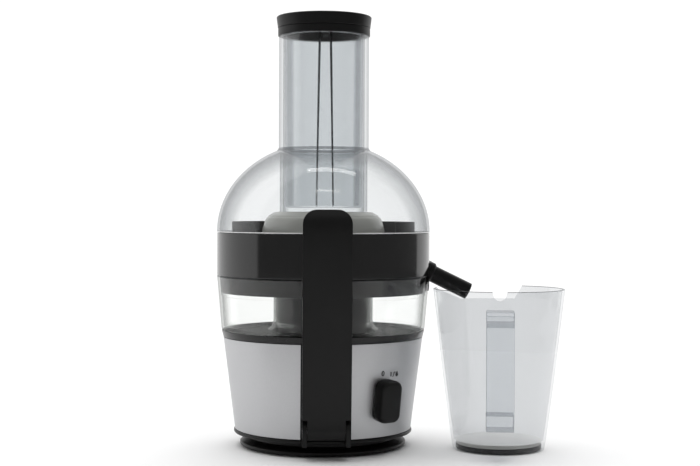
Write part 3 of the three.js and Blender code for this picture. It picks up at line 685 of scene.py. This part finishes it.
def top_deck():
    """The black collar that the container stands in, with the hollow tower under the sieve."""
    rim_r = COLLAR_R - 3.2
    bottom, top = BAND_TOP + GAP, BAND_TOP + 3.1
    shaft_hole_r, seal_seat_r = 9, 12
    roof_bottom, seal_seat_top = 137, 147
    outline = [
        (TOWER_R - 3, bottom),
        (COLLAR_R - 1.8, bottom),
        (COLLAR_R, COLLAR_TOP),
        (rim_r, COLLAR_TOP),
        (rim_r - 0.6, top),
        (TOWER_R, top),
        (TOWER_R - 3, TOWER_TOP - 4),
        (TOWER_R - 6, TOWER_TOP),
        (shaft_hole_r, TOWER_TOP),
        (shaft_hole_r, seal_seat_top),
        (seal_seat_r, seal_seat_top),
        (seal_seat_r, roof_bottom),
        (TOWER_R - 6, roof_bottom),
        (TOWER_R - 3, top + 1.4),
    ]
    mesh = turned("top_deck_fine", outline, 0.8)
    piece("top_deck_fine", mesh, DECK_BLACK, "satin_black", "motor_unit", "top_deck")
    second_material(mesh, RUBBER, is_deck_top)


def knob_matrix():
    """Z out of the steel band at the knob, and Y up along it."""
    tilt = math.atan(BAND_SLOPE)
    outward = Vector((math.sin(KNOB_AZIMUTH), -math.cos(KNOB_AZIMUTH), 0))
    rise = Vector((0, 0, 1))
    normal = outward * math.cos(tilt) - rise * math.sin(tilt)
    up = outward * math.sin(tilt) + rise * math.cos(tilt)
    right = up.cross(normal)
    place = (outward * band_radius(KNOB_Z) + rise * KNOB_Z) * MM
    matrix = Matrix((right, up, normal)).transposed().to_4x4()
    matrix.translation = place
    return matrix


def rounded_rectangle(width, height, radius):
    steps = 8
    x, y = width / 2 - radius, height / 2 - radius
    return [
        *arc_points(x, -y, radius, -90, 0, steps),
        *arc_points(x, y, radius, 0, 90, steps),
        *arc_points(-x, y, radius, 90, 180, steps),
        *arc_points(-x, -y, radius, 180, 270, steps),
    ]


def knob():
    """A long grip with rounded corners, a soft edge and a slightly crowned face."""
    bm = bmesh.new()
    matrix = knob_matrix()
    layers = [(1.0, 0.4), (9.5, 0), (11.9, 0.5), (13.2, 1.4), (13.9, 3.0)]
    rings = []
    for out, inset in layers:
        width, height = KNOB_WIDTH - 2 * inset, KNOB_HEIGHT - 2 * inset
        outline = rounded_rectangle(width, height, KNOB_CORNER - inset)
        ring = [bm.verts.new(matrix @ (Vector((x, y, out)) * MM)) for x, y in outline]
        rings.append(ring)
    for first, second in zip(rings, rings[1:]):
        for i in range(len(first)):
            after = (i + 1) % len(first)
            bm.faces.new([first[i], first[after], second[after], second[i]])
    bm.faces.new(rings[0])
    bm.faces.new(rings[-1])
    mesh = finished("knob_fine", bm, 40)
    piece("knob_fine", mesh, SATIN_BLACK, "satin_black", "control_knob", "knob")


def flat_mark(name, outline, azimuth, z, hole=None):
    """A thin printed shape on the steel band, from (x, z) points round the mark's middle.

    The azimuth is in degrees, from the front towards the spout.
    """
    mesh = as_mesh(name, prism_bmesh(outline, -0.3, 0.0, front_place))
    if hole is not None:
        mesh = cut_by(mesh, as_mesh("hole", prism_bmesh(hole, -1, 1, front_place)))
    lean = Matrix.Rotation(math.atan(BAND_SLOPE), 4, "X")
    lift = Matrix.Translation((0, -(band_radius(z) + 0.12) * MM, z * MM))
    mesh.transform(Matrix.Rotation(math.radians(azimuth), 4, "Z") @ lift @ lean)
    piece(name, mesh, MARK, "satin_black", "motor_unit")


def oval(half_width, half_height, count=24):
    angles = [2 * math.pi * i / count for i in range(count)]
    return [(half_width * math.cos(a), half_height * math.sin(a)) for a in angles]


def printed_marks():
    """A plain 0, 1, slash and drop over the knob."""
    one = [(-0.35, -2), (0.5, -2), (0.5, 2.2), (-0.3, 2.2), (-1, 1.2), (-0.3, 1.2)]
    slash = [(-1.3, -2.4), (-0.7, -2.4), (1.3, 2.4), (0.7, 2.4)]
    drop = [*arc_points(0, -0.7, 1.7, 130, 410, 16), (0, 2.8)]
    flat_mark("mark_zero", oval(1.6, 2.5), 34.6, 78, oval(0.85, 1.7))
    flat_mark("mark_one", one, 40.8, 76.6)
    flat_mark("mark_slash", slash, 43, 76.4)
    flat_mark("mark_drop", drop, 45.8, 76.4)


# ---- Pulp container and juice collector ----


def is_column(polygon):
    return face_radius(polygon) < COLUMN_R + 0.5 and polygon.center.z > (COLLAR_TOP + 5) * MM


def is_container_floor(polygon):
    low = polygon.center.z < (COLLAR_TOP + 2) * MM
    return low and face_radius(polygon) > COLUMN_R + 1 and abs(polygon.normal.z) > 0.9


def is_container_rim(polygon):
    return polygon.center.z > (CONTAINER_TOP - 1.3) * MM


def pulp_container():
    """The clear ring-shaped trough and its column, notched for the collector's outlet."""
    bottom, floor = COLLAR_TOP + GAP, TROUGH_FLOOR
    rim, ledge = CONTAINER_TOP - 1.2, SKIRT_BOTTOM - 3

    def inner(z):
        return container_radius(z) - CONTAINER_WALL

    outline = [
        (COLUMN_R - CONTAINER_WALL, TROUGH_UNDERSIDE),
        (COLLAR_R - 4.4, TROUGH_UNDERSIDE),
        (COLLAR_R - 3.8, bottom),
        (container_radius(bottom), bottom),
        (container_radius(rim), rim),
        (container_radius(CONTAINER_TOP), CONTAINER_TOP),
        (inner(CONTAINER_TOP), CONTAINER_TOP),
        (inner(ledge), ledge),
        (inner(ledge) - 0.7, ledge - 0.2),
        (inner(floor + 4), floor + 4),
        (inner(floor + 4) - 3.4, floor),
        (COLUMN_R + 6, floor),
        (COLUMN_R + 2, floor + 3),
        (COLUMN_R, floor + 9),
        (COLUMN_R, COLUMN_TOP),
        (COLUMN_R - CONTAINER_WALL, COLUMN_TOP),
    ]
    trough = turned("trough", outline, 1.0)
    outlet_notch = block_mesh((80, -13, 150), (120, 13, CONTAINER_TOP + 5))
    mesh = cut_by(trough, outlet_notch)
    smooth(mesh)
    piece("pulp_container_fine", mesh, CLEAR, "clear_plastic", "pulp_bin", "pulp_container")
    # Painted shade on the clear column round the tower.
    second_material(mesh, COLUMN_PAINTED_SHADE, is_column)
    second_material(mesh, CLEAR_FLOOR, is_container_floor)
    # Painted shade on the container's clear rim.
    second_material(mesh, RIM_PAINTED_SHADE, is_container_rim)


def spout_matrix():
    """Z down along the spout, from the middle of its root."""
    return Matrix.Translation(SPOUT_ROOT * MM) @ Matrix.Rotation(math.pi / 2 + SPOUT_TILT, 4, "Y")


def is_satin_part(polygon):
    """True for the bowl, and for the skirt that hangs inside the pulp container."""
    return face_radius(polygon) < BOWL_R + 0.5 or polygon.center.z < (CONTAINER_TOP + 0.3) * MM


def collector_band():
    """The gloss black band, with the skirt that hangs from it inside the container."""
    bottom = CONTAINER_TOP + GAP
    inner = COLLECTOR_R - COLLECTOR_WALL
    skirt_wall = 2

    def skirt(z):
        return container_radius(z) - CONTAINER_WALL - GAP

    outline = [
        (skirt(SKIRT_BOTTOM) - skirt_wall, SKIRT_BOTTOM),
        (skirt(SKIRT_BOTTOM), SKIRT_BOTTOM),
        (skirt(bottom), bottom),
        (COLLECTOR_R, bottom),
        (COLLECTOR_R, COLLECTOR_TOP),
        (inner, COLLECTOR_TOP),
        (inner, bottom + 6),
        (skirt(bottom) - skirt_wall, bottom),
    ]
    return turned("collector_band", outline, 0.6)


def juice_bowl():
    """The bowl round the sieve, cut low in front, with a collar that hangs in the column."""
    collar_outer, collar_inner, collar_bottom = 53, 51, 146
    hole_r, hole_top = 22, 177
    floor_top = BOWL_FLOOR + COLLECTOR_WALL
    wall = COLLECTOR_WALL
    outline = [
        (hole_r, BOWL_FLOOR),
        (collar_inner, BOWL_FLOOR),
        (collar_inner, collar_bottom),
        (collar_outer, collar_bottom),
        (collar_outer, BOWL_FLOOR),
        (BOWL_R - 4, BOWL_FLOOR),
        (BOWL_R, BOWL_FLOOR + 4.4),
        (BOWL_R, BOWL_TOP),
        (BOWL_R - wall, BOWL_TOP),
        (BOWL_R - wall, floor_top + 3),
        (BOWL_R - wall - 3, floor_top),
        (hole_r + wall, floor_top),
        (hole_r + wall, hole_top),
        (hole_r, hole_top),
    ]
    bowl = turned("juice_bowl", outline, 0.5)
    low_corner = (-BOWL_FRONT_HALF_WIDTH, -BOWL_R - 5, BOWL_FRONT_TOP)
    high_corner = (BOWL_FRONT_HALF_WIDTH, -50, BOWL_TOP + 5)
    return cut_by(bowl, block_mesh(low_corner, high_corner))


def bowl_ribs():
    """Four upright ribs that join the bowl to the band."""
    ribs = []
    for k in range(4):
        outer = COLLECTOR_R - COLLECTOR_WALL + 1
        rib = block_mesh((BOWL_R - 1, -1.5, 168), (outer, 1.5, 198))
        rib.transform(Matrix.Rotation(math.pi / 4 + k * math.pi / 2, 4, "Z"))
        ribs.append(rib)
    return ribs


def juice_collector():
    boss = cut_by(rod_mesh(10.5, -18, 0.5, spout_matrix()), rod_mesh(BOWL_R - 1.2, 150, 230))
    tongue_place = Matrix.Translation((0, 0, 158.9 * MM)) @ Matrix.Rotation(math.pi / 2, 4, "Y")
    tongue = rod_mesh(8.5, 96, COLLECTOR_R - 0.6, tongue_place)
    mesh = joined_with(collector_band(), juice_bowl(), *bowl_ribs(), boss, tongue)
    bore = rod_mesh(SPOUT_SHANK_R + GAP, -21, 8, spout_matrix())
    flange_seat = rod_mesh(10.6, 0.6, 30, spout_matrix())
    mesh = cut_by(mesh, bore, flange_seat)
    smooth(mesh)
    piece("juice_collector_fine", mesh, GLOSS_BLACK, "gloss_black", "collector", "juice_collector")
    second_material(mesh, SATIN_BLACK, is_satin_part)


def spout():
    """The pipe: a shank with a seal groove in the collector's bore, a flange and the spout."""
    groove_r, flange_r, mouth_r, shank_bore_r = 5.6, 10.2, 6.6, 4.6
    outline = [
        (shank_bore_r, -13),
        (SPOUT_SHANK_R, -13),
        (SPOUT_SHANK_R, -6.2),
        (groove_r, -6.2),
        (groove_r, -3.8),
        (SPOUT_SHANK_R, -3.8),
        (SPOUT_SHANK_R, 1),
        (flange_r, 1),
        (flange_r, 5),
        (SPOUT_R, 7),
        (SPOUT_R, SPOUT_LENGTH),
        (mouth_r, SPOUT_LENGTH),
        (6, 4),
        (shank_bore_r, 2),
    ]
    mesh = turned("spout_fine", outline, 0.5, SMALL_SIDES)
    mesh.transform(spout_matrix())
    piece("spout_fine", mesh, SATIN_BLACK, "satin_black", "spout_pipe", "spout")


# ---- Sieve ----


def sieve():
    """The sieve's cone of etched steel and its black rim."""
    outline = [
        (SIEVE_BOTTOM_R - 1.2, SIEVE_BOTTOM),
        (SIEVE_BOTTOM_R, SIEVE_BOTTOM),
        (SIEVE_TOP_R, SIEVE_TOP),
        (SIEVE_TOP_R - 1.2, SIEVE_TOP),
    ]
    mesh = turned("sieve_mesh_fine", outline, 0.1)
    piece("sieve_mesh_fine", mesh, sieve_etching(), "sieve_steel", "sieve", "sieve_mesh")
    low, high = SIEVE_TOP + GAP, SIEVE_TOP + 2.6
    inner, outer = SIEVE_TOP_R - 1.6, BOWL_R - 3.2
    rim = turned("sieve_rim_fine", [(inner, low), (outer, low), (outer, high), (inner, high)], 0.6)
    piece("sieve_rim_fine", rim, SATIN_BLACK, "satin_black", "sieve", "sieve_rim")


def sieve_etching():
    """Steel with thousands of small dark holes."""
    material, tree = new_material("etched_steel_mesh")
    shader = node(tree, "ShaderNodeBsdfPrincipled", Metallic=1.0, Roughness=0.28)
    cells = node(tree, "ShaderNodeTexVoronoi", Scale=650.0, Randomness=0.15)
    tree.links.new(coordinates(tree), cells.inputs["Vector"])
    shade = ramp(tree, cells.outputs["Distance"], [(0.22, grey(0.02)), (0.32, grey(0.58))])
    tree.links.new(shade, shader.inputs["Base Color"])
    height = bump(tree, cells.outputs["Distance"], 0.5, 0.0002)
    tree.links.new(height, shader.inputs["Normal"])
    output(tree, shader.outputs[0])
    return material


# ---- Lid, shroud and pusher ----


def dome_points(inset, end_radius):
    """The dome's curve, this far inside its outer side, from its foot up to end_radius."""
    steps = 28
    reach = COLLECTOR_R - inset
    rise = DOME_RISE - inset
    end_angle = math.acos(end_radius / reach)
    made = []
    for i in range(steps + 1):
        angle = end_angle * i / steps
        made.append((reach * math.cos(angle), DOME_BASE + rise * math.sin(angle)))
    return made


def is_neck_line(polygon):
    z = polygon.center.z / MM
    return face_radius(polygon) < TUBE_R + 2 and NECK_Z - 1.5 < z < NECK_Z + 2.4


def is_lid_edge(polygon):
    z = polygon.center.z / MM
    return face_radius(polygon) > COLLECTOR_R - 1.5 and COLLECTOR_TOP < z < COLLECTOR_TOP + 1.6


def lid():
    """The clear dome and its feed tube, with the rib that fits the pusher's groove."""
    flange_outer = COLLECTOR_R - COLLECTOR_WALL - GAP
    flange_inner = flange_outer - 2.2
    tube_foot_r = TUBE_R - 1.2
    outline = [
        (flange_inner, LID_FLANGE_BOTTOM),
        (flange_outer, LID_FLANGE_BOTTOM),
        (flange_outer, LID_SEAT),
        (COLLECTOR_R, LID_SEAT),
        (COLLECTOR_R, LID_SEAT + 0.6),
        *dome_points(0, TUBE_R + 2),
        (TUBE_R + 0.6, NECK_Z + 1.2),
        (TUBE_R, NECK_Z + 2.2),
        (TUBE_R, TUBE_TOP),
        (TUBE_BORE_R, TUBE_TOP),
        (TUBE_BORE_R, TUBE_BOTTOM),
        (tube_foot_r, TUBE_BOTTOM),
        *reversed(dome_points(DOME_WALL, tube_foot_r)),
        (flange_inner, LID_SEAT),
    ]
    shell = turned("lid_shell", outline, 0.4)
    key_rib = block_mesh((-3.5, -TUBE_BORE_R - 0.6, 234), (3.5, -TUBE_BORE_R + 2, TUBE_TOP - 4))
    mesh = joined_with(shell, key_rib)
    smooth(mesh)
    piece("lid_fine", mesh, SMOKE, "smoke_clear", "lid_dome", "lid")
    # Painted shade: a dark band on the clear plastic round the neck.
    second_material(mesh, NECK_PAINTED_SHADE, is_neck_line)
    # Painted highlight: opaque pale grey on the clear lid's edge at the seat.
    second_material(mesh, LID_EDGE_PAINTED_HIGHLIGHT, is_lid_edge)


def feed_shroud():
    """The grey bell under the feed tube, with a small step round its shoulder."""
    bore_r = TUBE_R - 0.8
    foot_wall = 2.2
    outline = [
        (bore_r, 223.8),
        (bore_r, BELL_TOP),
        (48, 227.8),
        (53.5, 224.6),
        (54.9, 222.7),
        (55.6, 222.4),
        (57.4, 219.4),
        (59.6, 212),
        (BELL_FOOT_R, BELL_FOOT),
        (BELL_FOOT_R - foot_wall, BELL_FOOT),
        (57.4, 211.6),
        (55.4, 218.2),
        (52, 222.6),
        (48, 224.8),
    ]
    mesh = turned("feed_shroud_fine", outline, 0.5)
    piece("feed_shroud_fine", mesh, SHROUD_GREY, "grey_shroud", "lid_dome", "feed_shroud")


def groove_wedge(margin, depth):
    """The groove's space: wider towards its foot and, by a draft angle, towards the front."""
    bottom = PUSHER_TOP_R - depth
    beyond = 50  # outside the pusher
    bm = bmesh.new()
    rings = []
    for out in (bottom, beyond):
        half = margin + GROOVE_DRAFT * (out - bottom)
        corners = [
            (-GROOVE_FOOT - half, PUSHER_BOTTOM - 5),
            (GROOVE_FOOT + half, PUSHER_BOTTOM - 5),
            (GROOVE_HEAD + half, TUBE_TOP + 5),
            (-GROOVE_HEAD - half, TUBE_TOP + 5),
        ]
        rings.append([bm.verts.new(Vector((x, -out, z)) * MM) for x, z in corners])
    for i in range(4):
        after = (i + 1) % 4
        bm.faces.new([rings[0][i], rings[0][after], rings[1][after], rings[1][i]])
    bm.faces.new(rings[0])
    bm.faces.new(rings[1])
    bmesh.ops.recalc_face_normals(bm, faces=bm.faces)
    return as_mesh("wedge", bm)


def is_groove_wall(polygon):
    """True for the pusher's faces that stand nearly along X beside the groove."""
    return abs(polygon.normal.x) > 0.85 and abs(polygon.center.x) < 13 * MM


def pusher_body():
    """The clear tapered tube with a floor, grooved in front from its head to its foot."""
    outer_outline = [
        (0, PUSHER_BOTTOM),
        (PUSHER_BOTTOM_R - 2, PUSHER_BOTTOM),
        (PUSHER_BOTTOM_R, PUSHER_BOTTOM + 2),
        (PUSHER_TOP_R, TUBE_TOP),
        (0, TUBE_TOP),
    ]
    hollow_outline = [
        (0, PUSHER_BOTTOM + PUSHER_WALL),
        (PUSHER_BOTTOM_R - PUSHER_WALL, PUSHER_BOTTOM + PUSHER_WALL),
        (PUSHER_TOP_R - PUSHER_WALL, TUBE_TOP + 5),
        (0, TUBE_TOP + 5),
    ]
    outer = turned("pusher_outer", outer_outline, 0.8)
    hollow = turned("pusher_hollow", hollow_outline, 0.8)
    grooved = cut_by(outer, groove_wedge(0, GROOVE_DEPTH))
    hollow = cut_by(hollow, groove_wedge(GROOVE_WALL, GROOVE_DEPTH + PUSHER_WALL))
    mesh = cut_by(grooved, hollow)
    smooth(mesh)
    piece("pusher_body_fine", mesh, SMOKE_PUSHER, "smoke_clear", "pusher", "pusher_body")
    # Painted shade: the groove's side walls get a near black tint.
    second_material(mesh, GROOVE_PAINTED_SHADE, is_groove_wall)


def pusher_cap():
    """The black cap, hollow below, with a seam round it."""
    top_r, skirt_r, hollow_r, roof = 46.7, 45.2, 36.6, 3.4
    outline = [
        (0, TOP),
        (top_r - 1, TOP),
        (top_r, TOP - 1),
        (skirt_r + 0.9, CAP_SEAM + 5),
        (skirt_r + 0.4, CAP_SEAM + 1.5),
        (skirt_r + 0.4, CAP_SEAM),
        (skirt_r - 0.6, CAP_SEAM - 0.4),
        (skirt_r, CAP_SEAM - 1),
        (skirt_r, TUBE_TOP + GAP),
        (hollow_r, TUBE_TOP + GAP),
        (hollow_r, TOP - roof),
        (0, TOP - roof),
    ]
    mesh = turned("pusher_cap_fine", outline, 0.5)
    piece("pusher_cap_fine", mesh, SATIN_BLACK, "satin_black", "pusher", "pusher_cap")


# ---- Locking arm ----


def between_faces(inner, outer):
    """The side outline between two faces, each given as (distance to the front, height)."""
    return [(-out, z) for out, z in [*inner, *reversed(outer)]]


def arm_cover():
    """A leaning bar with a round head and a pocket for its stiff bar, hung on the pin."""
    side_outline = between_faces(ARM_INNER, curve_through(ARM_OUTER))
    side = as_mesh("side", prism_bmesh(side_outline, -27.4, 27.4, side_place))
    half, corner = ARM_WIDTH / 2, 13
    front_outline = [
        (-half, 0),
        (half, 0),
        *arc_points(half - corner, ARM_TOP - corner, corner, 0, 90, 14),
        *arc_points(corner - half, ARM_TOP - corner, corner, 90, 180, 14),
    ]
    front = as_mesh("front", prism_bmesh(front_outline, -140, -80, front_place))
    body = combined(side, [front], "INTERSECT")
    eye = rod_mesh(HINGE_EYE_R, -HINGE_HALF_WIDTH, HINGE_HALF_WIDTH, pin_matrix())
    root_outline = [(-93.2, 30), (-93.2, 42), (-105.4, 42), (-105.4, 28), (-100, 28)]
    root = prism_bmesh(root_outline, -HINGE_HALF_WIDTH, HINGE_HALF_WIDTH, side_place)
    pocket_outline = between_faces(
        [(90, 46), (100, 120), (100, 218)],
        [(104.5, 46), (110.2, 104), (115.6, 160), (118.2, 205), (117.6, 218)],
    )
    pocket = prism_bmesh(pocket_outline, 3 - half, half - 3, side_place)
    mesh = joined_with(body, eye, as_mesh("root", root))
    mesh = cut_by(mesh, as_mesh("pocket", pocket), pin_hole())
    smooth(mesh)
    made = piece("arm_cover_fine", mesh, SATIN_BLACK, "satin_black", "locking_arm", "arm_cover")
    bevel(made, 1.2)


# ---- Jug ----


def is_jug_rim(polygon):
    return polygon.center.z > (JUG_HEIGHT - 1.2) * MM and abs(polygon.normal.z) > 0.3


def is_jug_floor(polygon):
    return polygon.center.z < 10 * MM and face_radius(polygon) < 39


def rear_rim_cut():
    """The space over the jug's low rear rim, with a slope at each end."""
    above, floor = JUG_HEIGHT + 1.5, JUG_HEIGHT - JUG_CUT_DEPTH
    left_slope = [(-60, above), (-56, 152.4), (-52, 150.6), (-30, floor)]
    outline = [*left_slope, (25, floor), (33, above)]
    return as_mesh("rear_cut", prism_bmesh(outline, 12, 80, front_place))


def handle_notch():
    """The round notch in the rim over the handle."""
    above, radius = JUG_HEIGHT + 1.5, 6.2
    outline = [(-7.5, above), *arc_points(0, 152.4, radius, 180, 360, 16), (7.5, above)]
    mesh = as_mesh("notch", prism_bmesh(outline, -80, -40, front_place))
    mesh.transform(Matrix.Rotation(JUG_TURN, 4, "Z"))
    return mesh


def jug_body():
    """The clear flared beaker, over a hollow foot that holds the black ring."""
    heights = [JUG_HEIGHT * i / 16 for i in range(17)]
    inside = [z for z in heights if z > 12]
    foot_r = JUG_BASE_R - JUG_WALL
    outline = [
        (0, JUG_FLOOR_BOTTOM),
        (foot_r, JUG_FLOOR_BOTTOM),
        (foot_r, 0),
        *[(jug_radius(z), z) for z in heights],
        *[(jug_radius(z) - JUG_WALL, z) for z in reversed(inside)],
        (jug_radius(9) - JUG_WALL, 9),
        (0, JUG_FLOOR_TOP),
    ]
    shell = turned("jug_shell", outline, 0.9)
    mesh = cut_by(shell, rear_rim_cut(), handle_notch())
    smooth(mesh)
    piece("jug_body_fine", mesh, CLEAR_JUG, "clear_plastic", "jug", "jug_body")
    # Painted shade on the jug's clear rim.
    second_material(mesh, RIM_PAINTED_SHADE, is_jug_rim)
    second_material(mesh, JUG_FLOOR, is_jug_floor)
    mesh.transform(Matrix.Translation(JUG_CENTRE * MM))


def is_handle_edge(polygon):
    return abs(polygon.normal.y) < 0.8


def jug_handle():
    """A flat-sided loop on the jug's front, slanting with the jug's wall."""
    top, bottom = 138, 28
    inner_top, inner_bottom = 127.5, 42

    def wall(z):
        return -(jug_radius(z) + GAP)

    loop = [
        (wall(top), top),
        (-90, top),
        (-95, top - 4),
        (-90, 40),
        (-82, bottom),
        (wall(bottom), bottom),
        (wall(inner_bottom), inner_bottom),
        (-79, inner_bottom),
        (-84.5, 50),
        (-89, 124),
        (-86, inner_top),
        (wall(inner_top), inner_top),
    ]
    half = HANDLE_WIDTH / 2
    mesh = finished("jug_handle_fine", prism_bmesh(loop, -half, half, side_place))
    made = piece("jug_handle_fine", mesh, CLEAR_HANDLE, "clear_plastic", "jug", "jug_handle")
    # Painted shade on the handle's clear sides and ends.
    second_material(mesh, HANDLE_SIDE_PAINTED_SHADE, is_handle_edge)
    mesh.transform(Matrix.Translation(JUG_CENTRE * MM) @ Matrix.Rotation(JUG_TURN, 4, "Z"))
    bevel(made, 1.0)


def jug_base_ring():
    inner, outer = 36.5, JUG_BASE_R - JUG_WALL - GAP
    bottom, top = 0.6, JUG_FLOOR_BOTTOM - GAP
    outline = [(inner, bottom), (outer, bottom), (outer, top), (inner, top)]
    mesh = turned("jug_base_ring_fine", outline, 0.6)
    mesh.transform(Matrix.Translation(JUG_CENTRE * MM))
    piece("jug_base_ring_fine", mesh, RUBBER, "rubber", "jug", "jug_base_ring")


# ---- CAD nodes that keep their shape ----


def paint(material, *names):
    """Gives CAD nodes that are not replaced their material."""
    for name in names:
        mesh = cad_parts[name].data
        mesh.materials.clear()
        mesh.materials.append(material)
        smooth(mesh)


def paint_carried_over():
    for number in (1, 2, 3, 4):
        paint(RUBBER, f"rubber_foot_{number}")
        paint(SHAFT_STEEL, f"housing_screw_{number}")
    paint(RUBBER, "cord_gland", "shaft_seal", "spout_seal")
    paint(SHAFT_STEEL, "hinge_pin", "motor_shaft", "lower_bearing", "upper_bearing")
    paint(INNER, "motor_bracket", "brush_holder_rear", "brush_holder_front", "cooling_fan")
    paint(INNER, "safety_switch", "rotary_switch", "knob_spindle", "arm_bar")
    paint(INNER, "drive_coupling", "sieve_hub")
    paint(LAMINATIONS, "stator", "armature")
    paint(COPPER, "field_coil_left", "field_coil_right", "commutator")
    paint(SIEVE_STEEL, "grating_disc")


# ---- Stage: floor, camera and lights ----

CAMERA_PLACE = Vector((-0.0456, -1.3765, 0.230))
CAMERA_TURN = math.radians(3)  # the camera looks along +Y turned this far towards +X
CAMERA_ROLL = math.radians(0.2)
SENSOR = 36
FOCAL_LENGTH = 72.05
HORIZON_SHIFT = -23 / 700  # the horizon lies above the middle of the picture
SIDE_SHIFT = -0.5 / 700

FLOOR_R = 0.95
WHITE_WALL_SIDE = (-0.358, 0.934, 0)  # the side of the studio where its white wall stands
WALL_EDGE = (0.09, 0.15)  # how far towards that side the wall starts to show, and shows fully
WALL_LIGHT = 1.15
FRONT_LIGHT = 0.27
SEEN_LIGHT = 1.08  # what the camera sees behind the floor


def floor():
    bm = bmesh.new()
    bmesh.ops.create_circle(bm, cap_ends=True, segments=96, radius=FLOOR_R)
    made = bpy.data.objects.new("floor", as_mesh("floor", bm))
    bpy.context.scene.collection.objects.link(made)
    material, tree = new_material("pale_floor")
    shader = node(tree, "ShaderNodeBsdfDiffuse", Color=(0.96, 0.96, 0.96, 1))
    output(tree, shader.outputs[0])
    made.data.materials.append(material)


def camera():
    data = bpy.data.cameras.new("camera")
    data.sensor_width = SENSOR
    data.lens = FOCAL_LENGTH
    data.shift_x = SIDE_SHIFT
    data.shift_y = HORIZON_SHIFT
    made = bpy.data.objects.new("camera", data)
    made.location = CAMERA_PLACE
    level = Matrix.Rotation(-CAMERA_TURN, 3, "Z") @ Matrix.Rotation(math.pi / 2, 3, "X")
    made.rotation_euler = (level @ Matrix.Rotation(CAMERA_ROLL, 3, "Z")).to_euler()
    bpy.context.scene.collection.objects.link(made)
    bpy.context.scene.camera = made


def studio_walls():
    """The world: a white wall behind, a dimmer room in front, and an even white to the camera."""
    world = bpy.data.worlds.new("studio")
    world.use_nodes = True
    tree = world.node_tree
    background = tree.nodes["Background"]
    background.inputs["Color"].default_value = (1, 1, 1, 1)
    place = tree.nodes.new("ShaderNodeTexCoord")
    towards = tree.nodes.new("ShaderNodeVectorMath")
    towards.operation = "DOT_PRODUCT"
    towards.inputs[1].default_value = WHITE_WALL_SIDE
    tree.links.new(place.outputs["Generated"], towards.inputs[0])
    wall = node(tree, "ShaderNodeMapRange", From_Min=WALL_EDGE[0], From_Max=WALL_EDGE[1])
    wall.inputs["To Min"].default_value = FRONT_LIGHT
    wall.inputs["To Max"].default_value = WALL_LIGHT
    tree.links.new(towards.outputs["Value"], wall.inputs["Value"])
    seen = tree.nodes.new("ShaderNodeLightPath").outputs["Is Camera Ray"]
    level = tree.nodes.new("ShaderNodeMix")
    level.inputs["B"].default_value = SEEN_LIGHT
    tree.links.new(seen, level.inputs["Factor"])
    tree.links.new(wall.outputs["Result"], level.inputs["A"])
    tree.links.new(level.outputs["Result"], background.inputs["Strength"])
    bpy.context.scene.world = world


def overhead_light():
    """Broad soft light from above that no surface mirrors."""
    data = bpy.data.lights.new("overhead", "SUN")
    data.energy = 1.6
    data.angle = math.radians(60)
    made = bpy.data.objects.new("overhead", data)
    made.visible_glossy = False
    bpy.context.scene.collection.objects.link(made)


def strip_light(name, place, lean, size, radiance):
    """A narrow lamp turned to the dome, seen only as a mirrored streak."""
    data = bpy.data.lights.new(name, "AREA")
    data.shape = "RECTANGLE"
    data.size, data.size_y = size
    data.energy = radiance * math.pi * size[0] * size[1]
    made = bpy.data.objects.new(name, data)
    made.location = place
    made.rotation_euler = (math.radians(lean), 0, 0)
    made.visible_diffuse = False
    made.visible_camera = False
    bpy.context.scene.collection.objects.link(made)


def build():
    camera()
    floor()
    studio_walls()
    overhead_light()
    strip_light("ceiling_strip", (0.12, 0.04, 1.3), 0, (0.66, 0.07), 6)
    strip_light("front_strip", (0.04, -0.56, 1.12), 29, (0.4, 0.04), 6)
    base_plate()
    motor_housing()
    steel_band()
    top_deck()
    knob()
    printed_marks()
    pulp_container()
    juice_collector()
    spout()
    sieve()
    lid()
    feed_shroud()
    pusher_body()
    pusher_cap()
    arm_cover()
    jug_body()
    jug_handle()
    jug_base_ring()
    paint_carried_over()


build()
bpy.context.scene.view_settings.view_transform = "Standard"
bpy.context.scene.cycles.transparent_max_bounces = 40  # sight passes many clear walls
bpy.context.scene.cycles.max_bounces = 16
